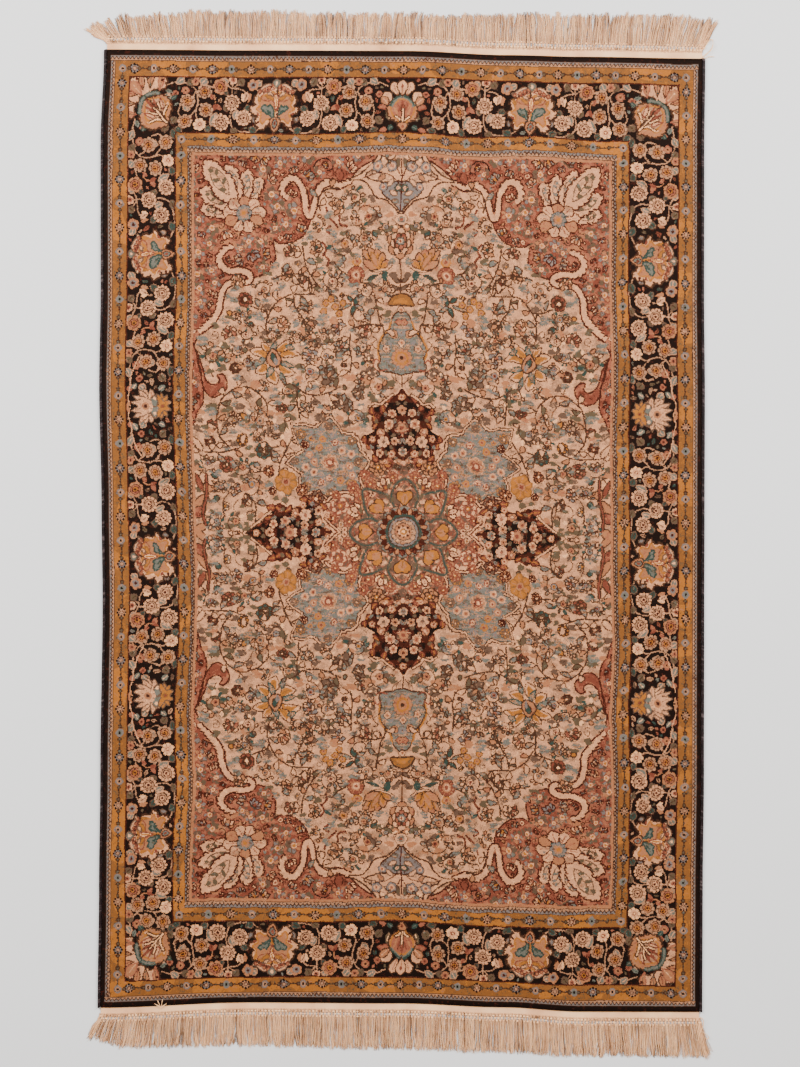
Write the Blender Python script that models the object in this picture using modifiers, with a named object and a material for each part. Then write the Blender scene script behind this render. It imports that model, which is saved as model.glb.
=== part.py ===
"""A hand-knotted silk rug, 0.92 m wide, lying flat: one knotted body, an overcast cord down each side,
and a flat-woven end with its fringe at the top and at the bottom. Metres, +Z up, the long side along Y."""

import math
import random

import bmesh
import bpy

# The knotted body and the cords beside it.
RUG_WIDTH = 0.920
PILE_LENGTH = 1.452
PILE_THICKNESS = 0.0040
PILE_EDGE_ROUNDING = 0.0010
CORD_DIAMETER = 0.0046
PIECE_GAP = 0.0003
PILE_WIDTH = RUG_WIDTH - 2 * (CORD_DIAMETER + PIECE_GAP)

# The flat-woven ends and the strands that hang from them.
END_WEAVE_WIDTH = 0.011
END_WEAVE_THICKNESS = 0.0018
STRANDS_PER_END = 148
STRAND_SECTIONS = 3
STRAND_ROOT_SHARE = 0.80
STRAND_TIP_SHARE = 0.58
STRAND_TIP_THICKNESS = 0.0012
STRAND_LEAN_SPREAD = 0.7  # degrees
STRAND_LENGTH_SPREAD = 2.2  # millimetres

CELLS_ACROSS = 14
CELLS_ALONG = 20
MM = 0.001

# How far each side stands off a straight line. place runs from -1 at the bottom end to 1 at the top end.
SIDE_DRIFT = [
    {"place": -1.00, "left": -4.6, "right": -2.9},
    {"place": -0.75, "left": -2.4, "right": -2.2},
    {"place": -0.50, "left": -0.4, "right": -0.3},
    {"place": -0.15, "left": 3.0, "right": 0.2},
    {"place": 0.05, "left": 1.3, "right": 0.7},
    {"place": 0.30, "left": -2.2, "right": 1.2},
    {"place": 0.50, "left": 0.0, "right": 0.0},
    {"place": 0.80, "left": -0.2, "right": 0.2},
    {"place": 1.00, "left": 5.2, "right": 1.8},
]

# The same for the two ends. place runs from -1 at the left side to 1 at the right side.
END_DRIFT = [
    {"place": -1.00, "top": 6.0, "bottom": -1.5},
    {"place": -0.50, "top": 4.6, "bottom": 6.5},
    {"place": 0.00, "top": 3.8, "bottom": 5.0},
    {"place": 0.35, "top": -2.6, "bottom": -1.0},
    {"place": 0.60, "top": -5.2, "bottom": -7.5},
    {"place": 1.00, "top": -8.0, "bottom": -8.0},
]

# Which way the strands lie, in degrees to the right of straight out, and how long they are, in millimetres.
FRINGE = [
    {"place": -1.00, "top_lean": -44, "top_length": 37, "bottom_lean": -30, "bottom_length": 36},
    {"place": -0.97, "top_lean": -16, "top_length": 40, "bottom_lean": -17, "bottom_length": 44},
    {"place": -0.90, "top_lean": -4, "top_length": 44, "bottom_lean": -8, "bottom_length": 52},
    {"place": -0.60, "top_lean": 0, "top_length": 49, "bottom_lean": 0, "bottom_length": 55},
    {"place": 0.00, "top_lean": 0, "top_length": 45, "bottom_lean": 0, "bottom_length": 59},
    {"place": 0.50, "top_lean": 1, "top_length": 53, "bottom_lean": 1, "bottom_length": 58},
    {"place": 0.75, "top_lean": 4, "top_length": 55, "bottom_lean": 3, "bottom_length": 56},
    {"place": 0.90, "top_lean": 13, "top_length": 54, "bottom_lean": 9, "bottom_length": 57},
    {"place": 1.00, "top_lean": 26, "top_length": 50, "bottom_lean": 21, "bottom_length": 58},
]


def read_table(table, column, place):
    """The column's value at a place, eased from each row to the next."""
    place = max(table[0]["place"], min(table[-1]["place"], place))
    for low, high in zip(table, table[1:]):
        if place <= high["place"]:
            share = (place - low["place"]) / (high["place"] - low["place"])
            share = share * share * (3 - 2 * share)
            return low[column] + share * (high[column] - low[column])
    return table[-1][column]


def on_rug(across, along):
    """The spot on the floor for a place on the knotted body, each from -1 to 1, with its uneven outline."""
    left = read_table(SIDE_DRIFT, "left", along) * MM
    right = read_table(SIDE_DRIFT, "right", along) * MM
    bottom = read_table(END_DRIFT, "bottom", across) * MM
    top = read_table(END_DRIFT, "top", across) * MM
    x = across * PILE_WIDTH / 2 + left + (right - left) * (across + 1) / 2
    y = along * PILE_LENGTH / 2 + bottom + (top - bottom) * (along + 1) / 2
    return x, y


def on_end_edge(across, outward):
    """The spot on the body's end edge, which runs straight from each of its cells to the next."""
    cell = min(int((across + 1) / 2 * CELLS_ACROSS), CELLS_ACROSS - 1)
    start = -1 + 2 * cell / CELLS_ACROSS
    share = (across - start) / 2 * CELLS_ACROSS
    x0, y0 = on_rug(start, outward)
    x1, y1 = on_rug(start + 2 / CELLS_ACROSS, outward)
    return x0 + share * (x1 - x0), y0 + share * (y1 - y0)


def clear_scene():
    for obj in list(bpy.data.objects):
        bpy.data.objects.remove(obj)


def make_material(name, colour, roughness):
    material = bpy.data.materials.new(name)
    material.use_nodes = True
    shader = material.node_tree.nodes["Principled BSDF"]
    shader.inputs["Base Color"].default_value = (*colour, 1)
    shader.inputs["Roughness"].default_value = roughness
    shader.inputs["Metallic"].default_value = 0
    return material


def add_part(name, mesh_or_curve, material, collection):
    obj = bpy.data.objects.new(name, mesh_or_curve)
    obj.data.materials.clear()
    obj.data.materials.append(material)
    collection.objects.link(obj)
    return obj


def knotted_body(material, collection):
    """The pile on its foundation: a flat slab with the rug's outline and a softened rim."""
    mesh = bpy.data.meshes.new("knotted_body")
    bm = bmesh.new()
    bmesh.ops.create_grid(bm, x_segments=CELLS_ACROSS, y_segments=CELLS_ALONG, size=1)
    for vertex in bm.verts:
        vertex.co.x, vertex.co.y = on_rug(vertex.co.x, vertex.co.y)
    bm.to_mesh(mesh)
    bm.free()
    body = add_part("knotted_body", mesh, material, collection)
    thicken = body.modifiers.new("thickness", "SOLIDIFY")
    thicken.thickness = PILE_THICKNESS
    thicken.offset = 1
    soften = body.modifiers.new("rim", "BEVEL")
    soften.width = PILE_EDGE_ROUNDING
    soften.segments = 1
    soften.limit_method = "ANGLE"
    return body


def side_cord(name, side, material, collection):
    """The overcast cord down one side, lying on the floor beside the body. side is -1 or 1."""
    curve = bpy.data.curves.new(name, "CURVE")
    curve.dimensions = "3D"
    curve.bevel_depth = CORD_DIAMETER / 2
    curve.bevel_resolution = 2
    curve.use_fill_caps = True
    spline = curve.splines.new("POLY")
    spline.points.add(CELLS_ALONG)
    middle_off_body = PIECE_GAP + CORD_DIAMETER / 2
    for i, point in enumerate(spline.points):
        x, y = on_rug(side, -1 + 2 * i / CELLS_ALONG)
        point.co = (x + side * middle_off_body, y, CORD_DIAMETER / 2, 1)
    return add_part(name, curve, material, collection)


def strand_course(end, number):
    """A strand's lean, in radians, and its length. end is "top" or "bottom"."""
    place = -1 + 2 * (number + 0.5) / STRANDS_PER_END
    lean = read_table(FRINGE, end + "_lean", place) + random.uniform(-1, 1) * STRAND_LEAN_SPREAD
    length = read_table(FRINGE, end + "_length", place) + random.uniform(-1, 1) * STRAND_LENGTH_SPREAD
    return math.radians(lean), length * MM


def draw_out_strand(bm, face, outward, lean, length):
    """Draws one strand out of a face of the end weave, section by section, narrower and thinner to its tip."""
    step = length / STRAND_SECTIONS
    narrowing = (STRAND_TIP_SHARE / STRAND_ROOT_SHARE) ** (1 / STRAND_SECTIONS)
    thinning = (STRAND_TIP_THICKNESS / END_WEAVE_THICKNESS) ** (1 / STRAND_SECTIONS)
    for _ in range(STRAND_SECTIONS):
        face = bmesh.ops.extrude_discrete_faces(bm, faces=[face])["faces"][0]
        middle = face.calc_center_median()
        for vertex in face.verts:
            vertex.co.x = middle.x + (vertex.co.x - middle.x) * narrowing + step * math.sin(lean)
            vertex.co.y += outward * step * math.cos(lean)
            vertex.co.z *= thinning


def column_place(column):
    """How far across the end a column of the weave's grid is. Each strand has a column on either side."""
    if column in (0, 2 * STRANDS_PER_END + 1):
        return -1 if column == 0 else 1
    strand, is_right_side = divmod(column - 1, 2)
    half_gap = (1 - STRAND_ROOT_SHARE) / 2
    return -1 + 2 * (strand + (1 - half_gap if is_right_side else half_gap)) / STRANDS_PER_END


def fringed_end(name, end, material, collection):
    """The flat-woven end and its strands, one solid: a strip of cells, with a strand from every other cell."""
    outward = 1 if end == "top" else -1
    cells = 2 * STRANDS_PER_END + 1
    bm = bmesh.new()
    bmesh.ops.create_grid(bm, x_segments=cells, y_segments=1, size=1)
    for vertex in bm.verts:
        column = round((vertex.co.x + 1) / 2 * cells)
        reach = PIECE_GAP + (END_WEAVE_WIDTH if vertex.co.y * outward > 0 else 0)
        vertex.co.x, y = on_end_edge(column_place(column), outward)
        vertex.co.y = y + outward * reach
    lid = bmesh.ops.extrude_face_region(bm, geom=bm.faces[:])["geom"]
    lid_vertices = [v for v in lid if isinstance(v, bmesh.types.BMVert)]
    bmesh.ops.translate(bm, vec=(0, 0, END_WEAVE_THICKNESS), verts=lid_vertices)
    bmesh.ops.recalc_face_normals(bm, faces=bm.faces)
    outer_faces = [face for face in bm.faces if face.normal.y * outward > 0.9]
    outer_faces.sort(key=lambda face: face.calc_center_median().x)
    for number, face in enumerate(outer_faces[1::2]):
        lean, length = strand_course(end, number)
        draw_out_strand(bm, face, outward, lean, length)
    mesh = bpy.data.meshes.new(name)
    bm.to_mesh(mesh)
    bm.free()
    return add_part(name, mesh, material, collection)


def build():
    random.seed(7)
    clear_scene()
    rug = bpy.data.collections.new("silk_rug")
    bpy.context.scene.collection.children.link(rug)
    pile = make_material("silk_pile", (0.42, 0.27, 0.17), 0.55)
    overcast = make_material("overcast_silk", (0.035, 0.012, 0.014), 0.45)
    undyed = make_material("undyed_silk", (0.66, 0.50, 0.38), 0.60)
    knotted_body(pile, rug)
    side_cord("side_cord_left", -1, overcast, rug)
    side_cord("side_cord_right", 1, overcast, rug)
    fringed_end("fringed_end_top", "top", undyed, rug)
    fringed_end("fringed_end_bottom", "bottom", undyed, rug)


build()
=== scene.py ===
import math
import random

import bpy
import numpy as np
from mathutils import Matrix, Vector


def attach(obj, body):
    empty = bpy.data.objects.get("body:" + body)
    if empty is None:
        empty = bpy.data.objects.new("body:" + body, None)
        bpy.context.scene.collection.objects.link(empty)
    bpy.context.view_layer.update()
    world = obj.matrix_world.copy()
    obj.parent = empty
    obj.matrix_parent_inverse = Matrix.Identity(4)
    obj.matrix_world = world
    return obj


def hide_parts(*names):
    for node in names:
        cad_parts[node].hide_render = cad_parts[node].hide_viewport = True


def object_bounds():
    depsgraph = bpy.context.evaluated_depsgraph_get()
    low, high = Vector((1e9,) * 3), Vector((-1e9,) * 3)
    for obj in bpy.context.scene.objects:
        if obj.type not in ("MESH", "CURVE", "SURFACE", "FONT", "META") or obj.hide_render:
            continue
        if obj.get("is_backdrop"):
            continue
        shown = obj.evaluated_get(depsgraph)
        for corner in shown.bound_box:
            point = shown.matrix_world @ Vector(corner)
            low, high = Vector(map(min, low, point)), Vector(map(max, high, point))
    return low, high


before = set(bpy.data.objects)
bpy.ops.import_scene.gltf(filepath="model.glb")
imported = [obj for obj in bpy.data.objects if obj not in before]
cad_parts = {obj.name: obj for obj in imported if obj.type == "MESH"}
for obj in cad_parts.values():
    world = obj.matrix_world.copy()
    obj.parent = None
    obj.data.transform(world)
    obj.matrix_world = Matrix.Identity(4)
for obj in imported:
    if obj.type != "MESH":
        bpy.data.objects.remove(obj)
cad_low, cad_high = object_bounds()
scene = bpy.context.scene

# ---------------------------------------------------------------- the camera
# The rug is seen from straight above, square to its sides, with the short fringe at the top.
# The camera is made first, because nothing else depends on how it stands.
VIEW_LENGTH = 1.625                       # metres of floor from the top of the frame to its bottom
VIEW_CENTRE = (-0.0036, -0.0053)
RUG_TOP = 0.004
LENS, SENSOR = 85.0, 36.0


def add_object(name, data):
    """Puts a mesh, curve, lamp or camera into the scene under that name."""
    made = bpy.data.objects.new(name, data)
    scene.collection.objects.link(made)
    return made


camera_data = bpy.data.cameras.new("camera")
camera_data.lens = LENS
camera_data.sensor_width = SENSOR
camera = add_object("camera", camera_data)
camera.location = (*VIEW_CENTRE, RUG_TOP + VIEW_LENGTH * LENS / SENSOR)
scene.camera = camera

# ---------------------------------------------------------------- the knotted body
# A silk pile of about a million small knots on silk warps, tied row by row from a chart and sheared
# to 4 mm. The chart here is a new drawing of the traditional medallion garden: a dark flower border
# between gold guards, and a pale field of vines with corner pieces and pendants. A knot is 1 mm wide,
# a little finer than the 1.2 to 1.5 mm of the real one.
MM = 0.001
PILE_WIDTH, PILE_LENGTH = 0.9102, 1.452
PILE_THICKNESS, PILE_EDGE = 4.0 * MM, 1.1 * MM              # and how much lower its sheared rim stands
BACK_RIM = 0.3 * MM                                         # how far the rim of the back is rounded up
SIDE_DRIFT = ((-1, -4.6, -2.9), (-0.75, -2.4, -2.2), (-0.5, -0.4, -0.3), (-0.15, 3.0, 0.2),
              (0.05, 1.3, 0.7), (0.3, -2.2, 1.2), (0.5, 0, 0), (0.8, -0.2, 0.2),
              (1, 5.2, 1.8))                                # place, left and right, mm
END_DRIFT = ((-1, 6.0, -1.5), (-0.5, 4.6, 6.5), (0, 3.8, 5.0), (0.35, -2.6, -1.0), (0.6, -5.2, -7.5),
             (1, -8.0, -8.0))                               # place, top and bottom, mm


def read_table(table, column, place):
    """A value between the rows of a given table, eased from one row to the next."""
    for low, high in zip(table[:-1], table[1:]):
        if place <= high[0] or high is table[-1]:
            t = min(1.0, max(0.0, (place - low[0]) / (high[0] - low[0])))
            t = t * t * (3 - 2 * t)
            return low[column] + (high[column] - low[column]) * t


def on_rug(across, along):
    """The point of the hand-woven, slightly crooked outline at these shares of its half sizes."""
    left, right = (read_table(SIDE_DRIFT, k, along) * MM for k in (1, 2))
    top, bottom = (read_table(END_DRIFT, k, across) * MM for k in (1, 2))
    return (across * PILE_WIDTH / 2 + left + (right - left) * (across + 1) / 2,
            along * PILE_LENGTH / 2 + bottom + (top - bottom) * (along + 1) / 2)

# ---------------------------------------------------------------- the knot chart
# A weaver reads the pile row by row from a chart, which says the dye of every knot. The right half of
# it is drawn here, curve by curve, and the left half mirrors it. The dyes run from near black to ivory.
PALETTE = {
    "night": "#070303", "maroon": "#341109", "rust": "#6b3526", "salmon": "#864c37", "peach": "#975f3e",
    "cream": "#bc825d", "ivory": "#dc9e6e", "sand": "#986b4e", "gold": "#784921", "orange": "#975a22",
    "olive": "#4e3f2d", "teal": "#25362f", "mist": "#5b5a4f", "lilac": "#695d57", "taupe": "#543d2f",
    "vine": "#372115"}          # in the order of the names below
(NIGHT, MAROON, RUST, SALMON, PEACH, CREAM, IVORY, SAND, GOLD, ORANGE, OLIVE, TEAL, MIST, LILAC, TAUPE,
    VINE) = range(16)
NO_KNOT = 255
COLUMNS, ROWS = 456, 1452                                   # knots in half the width, and in the length
MIDDLE = ROWS // 2
chart = np.full((ROWS, COLUMNS), SAND, dtype=np.uint8)      # columns run out from the centre line


def smooth(points, closed=False):
    """A smooth path, in steps of under half a knot, through given points."""
    p = np.array(points, dtype=float)
    if closed:
        p = np.vstack([p[-1], p, p[0], p[1]])
    else:
        p = np.vstack([2 * p[0] - p[1], p, 2 * p[-1] - p[-2]])
    path = []
    for a, b, c, d in zip(p[:-3], p[1:-2], p[2:-1], p[3:]):
        t = np.linspace(0, 1, int(np.hypot(*(c - b)) * 2.2) + 2)[:-1, None]
        path.append(0.5 * (2 * b + (c - a) * t + (2 * a - 5 * b + 4 * c - d) * t ** 2
            + (3 * b - a - 3 * c + d) * t ** 3))
    path.append(p[-2:-1])
    return np.vstack(path)


def ribbon(points, width, colour, line=None, raw=False):
    """A stem or a band along a path, with a thin line down both sides if asked."""
    path = np.array(points, dtype=float) if raw else smooth(points)
    for wide, shade in ((width + 3.4, line), (width, colour)):
        if shade is None:
            continue
        reach = int(wide / 2 + 1)
        here = np.floor(path)
        for i in range(-reach, reach + 1):
            for j in range(-reach, reach + 1):
                cell = here + (i, j)
                near = np.hypot(*(cell + 0.5 - path).T) < wide / 2
                if i == j == 0:
                    near[:] = True
                col, row = cell[:, 0].astype(int), cell[:, 1].astype(int) + MIDDLE
                keep = near & (col >= 0) & (col < COLUMNS) & (row >= 0) & (row < ROWS)
                chart[row[keep], col[keep]] = shade


def fill(path, colour):
    """Every knot inside a closed path."""
    x, y = path[:, 0], path[:, 1] + MIDDLE
    x2, y2 = np.roll(x, -1), np.roll(y, -1)
    for row in range(max(0, int(y.min())), min(ROWS, int(y.max()) + 2)):
        level = row + 0.5
        cut = (y <= level) != (y2 <= level)
        at = np.sort(x[cut] + (level - y[cut]) * (x2[cut] - x[cut]) / (y2[cut] - y[cut]))
        for left, right in zip(at[::2], at[1::2]):
            a, b = int(math.ceil(left - 0.5)), int(math.ceil(right - 0.5))
            if b > 0:
                chart[row, max(0, a):min(COLUMNS, b)] = colour


def patch(points, colour, line=None, tooth=0.0, pitch=6.0, raw=False):
    """A filled shape; tooth gives it a saw edge, line outlines it."""
    path = np.array(points, dtype=float) if raw else smooth(points, closed=True)
    if tooth:
        step = np.roll(path, -1, axis=0) - path
        along = np.cumsum(np.hypot(step[:, 0], step[:, 1]))
        normal = np.stack([step[:, 1], -step[:, 0]], axis=1) / (np.hypot(step[:, 0], step[:, 1])[:, None]
            + 1e-6)
        count = max(3, round(along[-1] / pitch))
        saw = (along / along[-1] * count) % 1.0
        path = path + normal * (tooth * (saw ** 0.7))[:, None]
    fill(path, colour)
    if line is not None:
        ribbon(np.vstack([path, path[:1]]), 2.5, line, raw=True)


def leaf(base, tip, width, colour, line=None, rib=None, blunt=0.8, bend=0.0):
    """A leaf or petal from base to tip; blunt over 1 rounds its tip."""
    b, t = np.array(base, dtype=float), np.array(tip, dtype=float)
    axis = t - b
    side = np.array([-axis[1], axis[0]]) / (np.hypot(*axis) + 1e-6)
    s = np.linspace(0, 1, 13)
    half = width / 2 * np.sin(np.pi * s ** blunt) ** 0.75
    spine = b + axis * s[:, None] + side * (bend * np.sin(np.pi * s))[:, None]
    path = np.vstack([spine + side * half[:, None], (spine - side * half[:, None])[::-1]])
    dense = np.vstack([np.linspace(p, q, 5)[:-1] for p, q in zip(path, np.roll(path, -1, axis=0))])
    fill(dense, colour)
    if line is not None:
        ribbon(dense, 1.8, line, raw=True)
    if rib is not None:
        ribbon(spine[2:-3], 1.3, rib)


def leaves(at, *rows):
    """Draws leaves in turn, each given by its two ends and its looks; at places the ends."""
    for x, y, x2, y2, *looks in rows:
        leaf(at(x, y), at(x2, y2), *looks)


def rosette(x, y, radius, petals, rings, notch=0.14, turn=0.0, gap=None, rim=None):
    """A round flower: rings of colour from the petals inward, petals parted by short gaps."""
    rows = np.arange(int(y - radius - 3), int(y + radius + 4))
    cols = np.arange(int(x - radius - 3), int(x + radius + 4))
    dx, dy = np.meshgrid(cols + 0.5 - x, rows + 0.5 - y)
    far, angle = np.hypot(dx, dy), np.arctan2(dy, dx) + turn
    edge = radius * (1 - notch + notch * np.abs(np.cos(angle * petals / 2)) ** 0.6)
    found = np.full(far.shape, NO_KNOT, dtype=np.uint8)
    if rim is not None:
        found[far < edge + 1.0] = rim
    for share, colour in rings:
        found[far < (edge * share if share > 0.7 else radius * share)] = colour
    if gap is not None:
        between = np.abs(np.sin((angle * petals / 2 + np.pi / 2))) * far * 2 / petals
        found[(between < 0.42) & (far > radius * 0.62) & (far < edge)] = gap
    stamp(rows, cols, found)


def dot(x, y, radius, colour):
    """A plain round dot."""
    rosette(x, y, radius, 1, ((1, colour),), notch=0)


def stamp(rows, cols, found):
    """Puts the found knots down, leaving out what falls off the half chart."""
    r, c = np.meshgrid(rows + MIDDLE, cols, indexing="ij")
    keep = (found != NO_KNOT) & (r >= 0) & (r < ROWS) & (c >= 0) & (c < COLUMNS)
    chart[r[keep], c[keep]] = found[keep]

# ---------------------------------------------------------------- the field of the chart
# A pale garden of curling vines and small outlined flowers, with a dark medallion at its heart, a
# pendant above it, a lily, a fan flower and a salmon corner piece. The motifs come first.
def around(x, y, reach, turn, rise=None):
    """The point at that reach and turn from a place; rise is its reach up and down where that differs."""
    return x + reach * math.cos(turn), y + (reach if rise is None else rise) * math.sin(turn)


def blossom(x, y, radius, petals, edge, core, heart, rim=VINE, turn=0.0):
    """A small flower with a dark outline, as the field is full of."""
    rosette(x, y, radius, petals, ((1, edge), (0.58, core), (0.28, heart)), notch=0.2, turn=turn, rim=rim)


def peony(x, y, radius, outer, middle, heart, rim=VINE, turn=0.0):
    """A double flower: two rings of outlined petals."""
    for share, count, colour, shift in ((1.0, 7, outer, 0.0), (0.62, 5, middle, 0.3)):
        for k in range(count):
            a = 2 * math.pi * (k + shift) / count + turn
            leaf(around(x, y, radius * 0.12, a), around(x, y, radius * share, a), radius * share * 0.72,
                colour, line=rim, blunt=1.5)
    rosette(x, y, radius * 0.24, 5, ((1, heart), (0.45, IVORY)), notch=0.1, rim=rim)


def tendril(x, y, radius, turns, start, way, width=1.1, colour=VINE):
    """A stem that curls up into a spiral."""
    steps = 14                                            # to a full turn
    path = [around(x, y, radius * (1 - 0.75 * k / (turns * steps)), start + way * 2 * math.pi * k / steps)
        for k in range(int(turns * steps) + 1)]
    ribbon(path, width, colour)


def sprig(x, y, size, turn, fill_a, fill_b, heart, rim=VINE, calyx=TAUPE):
    """A flower seen from the side: petals fanned over a calyx of two small leaves."""
    base = around(x, y, -0.45 * size, turn)
    for side in (-1, 1):
        a = turn + side * 1.9
        leaf(base, around(*base, size * 0.55, a), size * 0.34, calyx)
    for spread, reach, colour in ((-62, 0.95, fill_a), (62, 0.95, fill_a), (-30, 1.2, fill_b),
            (30, 1.2, fill_b), (0, 1.0, fill_a)):
        a = turn + math.radians(spread)
        leaf(base, around(*base, size * reach, a), size * 0.55, colour, line=rim, blunt=1.4)
    leaf(base, around(*base, size * 0.6, turn), size * 0.3, heart)


def leafy(points, spacing, size, fills, first):
    """A vine with leaves to either side of it by turns, each on a short stalk."""
    path = smooth(points)
    step = max(3, int(spacing * 2.2))
    for n, i in enumerate(range(step // 2, len(path) - 2, step)):
        side = first if n % 2 else -first
        way = math.atan2(path[i + 1][1] - path[i][1], path[i + 1][0] - path[i][0]) + side * 0.95
        long = size * (0.8 + 0.4 * ((n * 37) % 10) / 10)
        base = around(*path[i], 2.5, way)
        leaf(base, around(*base, long, way), size * 0.55, fills[n % len(fills)], line=VINE,
            bend=side * size * 0.14, blunt=1.1)
        ribbon([path[i], base], 1.2, VINE)
    ribbon(path, 2.5, VINE, raw=True)


def scatter(region, motif, tries, seed, clear, spread, least=0.97):
    """Fills what is left of a ground with motifs; least is the share of clear knots that each needs."""
    rng = random.Random(seed)
    rows, cols = np.nonzero(region)
    for _ in range(tries):
        k = rng.randrange(len(rows))
        r, c = rows[k], cols[k]
        size = rng.uniform(*spread)
        reach = int(size + 1.5)
        if c - reach < 0:
            continue
        box = chart[max(0, r - reach):r + reach + 1, max(0, c - reach):c + reach + 1]
        if np.isin(box, clear).mean() > least:
            motif(rng, c + 0.5, r + 0.5 - MIDDLE, size)


def smear(rng, x, y, size):
    """A soft patch of grey or olive leaves, blurred by the wear of the silk."""
    colour = rng.choice((MIST, OLIVE, MIST, TAUPE, PEACH))
    for k in range(3):
        u, v = x + rng.uniform(-0.5, 0.5) * size, y + rng.uniform(-0.5, 0.5) * size
        leaf((u - size * 0.7, v), (u + size * 0.7, v + rng.uniform(-0.4, 0.4) * size), size * 0.7, colour,
            bend=1)


def soft_bloom(rng, x, y, size):
    """A larger corner flower: uneven pale petals with grey between them, and no hard outline."""
    for k in range(7):
        a = 0.9 * k + rng.uniform(-0.25, 0.25)
        leaf((x, y), around(x, y, size, a), size * 0.62, rng.choice((MIST, TAUPE, PEACH, LILAC, OLIVE)),
            line=rng.choice((RUST, TAUPE, SALMON)), blunt=1.4)
    rosette(x, y, size * 0.36, 5, ((1, CREAM), (0.5, ORANGE)), rim=RUST)


def accent_leaf(rng, x, y, size):
    """A single leaf in one of the strong colours."""
    turn = rng.uniform(0, 6.28)
    leaf(around(x, y, -size * 0.6, turn), around(x, y, size * 0.6, turn), size * 0.9,
        rng.choice((TEAL, ORANGE, RUST, OLIVE, PEACH, TEAL)), line=VINE)


def curling_vine(rng, x, y, size):
    """A vine that rolls up, with small leaves along its outer side and a flower at its heart."""
    start, way, turns = rng.uniform(0, 6.28), rng.choice((-1, 1)), rng.uniform(0.9, 1.3)
    per_turn = 9
    steps = int(turns * per_turn)
    for k in range(steps):
        a = start + way * 2 * math.pi * k / per_turn
        base = around(x, y, size * (1 - 0.7 * k / steps), a)
        out = a + way * rng.uniform(0.2, 1.2)
        long = rng.uniform(0.34, 0.5) * size + 2
        colour = rng.choice((CREAM, MIST, SAND, TAUPE, CREAM, OLIVE, IVORY, MIST, PEACH, TEAL))
        leaf(base, around(*base, long, out), long * 0.6, colour, line=VINE if colour in (CREAM, PEACH,
            LILAC, MIST) else None, blunt=1.1)
    tendril(x, y, size, turns, start, way, 1.6)
    blossom(x, y, size * 0.3, 5, rng.choice((CREAM, PEACH, LILAC)), rng.choice((SALMON, MIST, ORANGE)),
        MAROON)


def small_flower(rng, x, y, size, edges=(CREAM, SAND, CREAM, IVORY, MIST, PEACH), rim=VINE):
    """One of the small motifs between the vines: a side flower, a round one, a leaf or a curl."""
    kind, turn = rng.random(), rng.uniform(0, 6.28)
    rim = TAUPE if rim == VINE and rng.random() < 0.45 else rim
    if size > 5.0 and kind < 0.84:
        petals = rng.choice(edges), rng.choice(edges)
        heart, calyx = rng.choice((RUST, ORANGE, MIST, SALMON)), rng.choice((TAUPE, MIST, OLIVE, TEAL))
        sprig(x, y, size * 1.1, turn, *petals, heart, rim=rim, calyx=calyx)
    elif size > 3.6 and kind < 0.45:
        count, edge = rng.choice((4, 5, 6)), rng.choice(edges)
        core, heart = rng.choice((PEACH, SALMON, MIST, ORANGE)), rng.choice((RUST, MAROON, GOLD))
        rosette(x, y, size, count, ((1, edge), (0.5, core), (0.25, heart)), notch=0.25, turn=turn, rim=rim)
    elif kind < 0.8:
        colour = rng.choice((OLIVE, MIST, TAUPE, CREAM, SALMON, CREAM, CREAM, PEACH))
        leaf(around(x, y, -size, turn), around(x, y, size, turn), size * 1.1, colour,
            line=rim if colour in (CREAM, SALMON, PEACH) else None, bend=size * 0.3)
    else:
        tendril(x, y, size, 1.1, turn, rng.choice((-1, 1)), colour=rim)


def soft_noise(shape, grain, rng):
    """Even noise from 0 to 1 over the chart, smooth over that many knots along and across."""
    small = rng.random((shape[0] // grain[0] + 3, shape[1] // grain[1] + 3))
    r, c = np.arange(shape[0])[:, None] / grain[0], np.arange(shape[1])[None, :] / grain[1]
    r0, c0 = r.astype(int), c.astype(int)
    fr, fc = r - r0, c - c0
    return (small[r0, c0] * (1 - fr) * (1 - fc) + small[r0 + 1, c0] * fr * (1 - fc) + small[r0, c0 + 1]
        * (1 - fr) * fc + small[r0 + 1, c0 + 1] * fr * fc)


def mottle(region, ground, colours, seed, grain):
    """Uneven dyeing: soft patches of neighbouring shades in one ground colour."""
    rng = np.random.default_rng(seed)
    soft = soft_noise(chart.shape, grain, rng) + rng.normal(0, 0.06, chart.shape)
    for low, high, colour in colours:
        chart[region & (chart == ground) & (soft >= low) & (soft < high)] = colour


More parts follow.
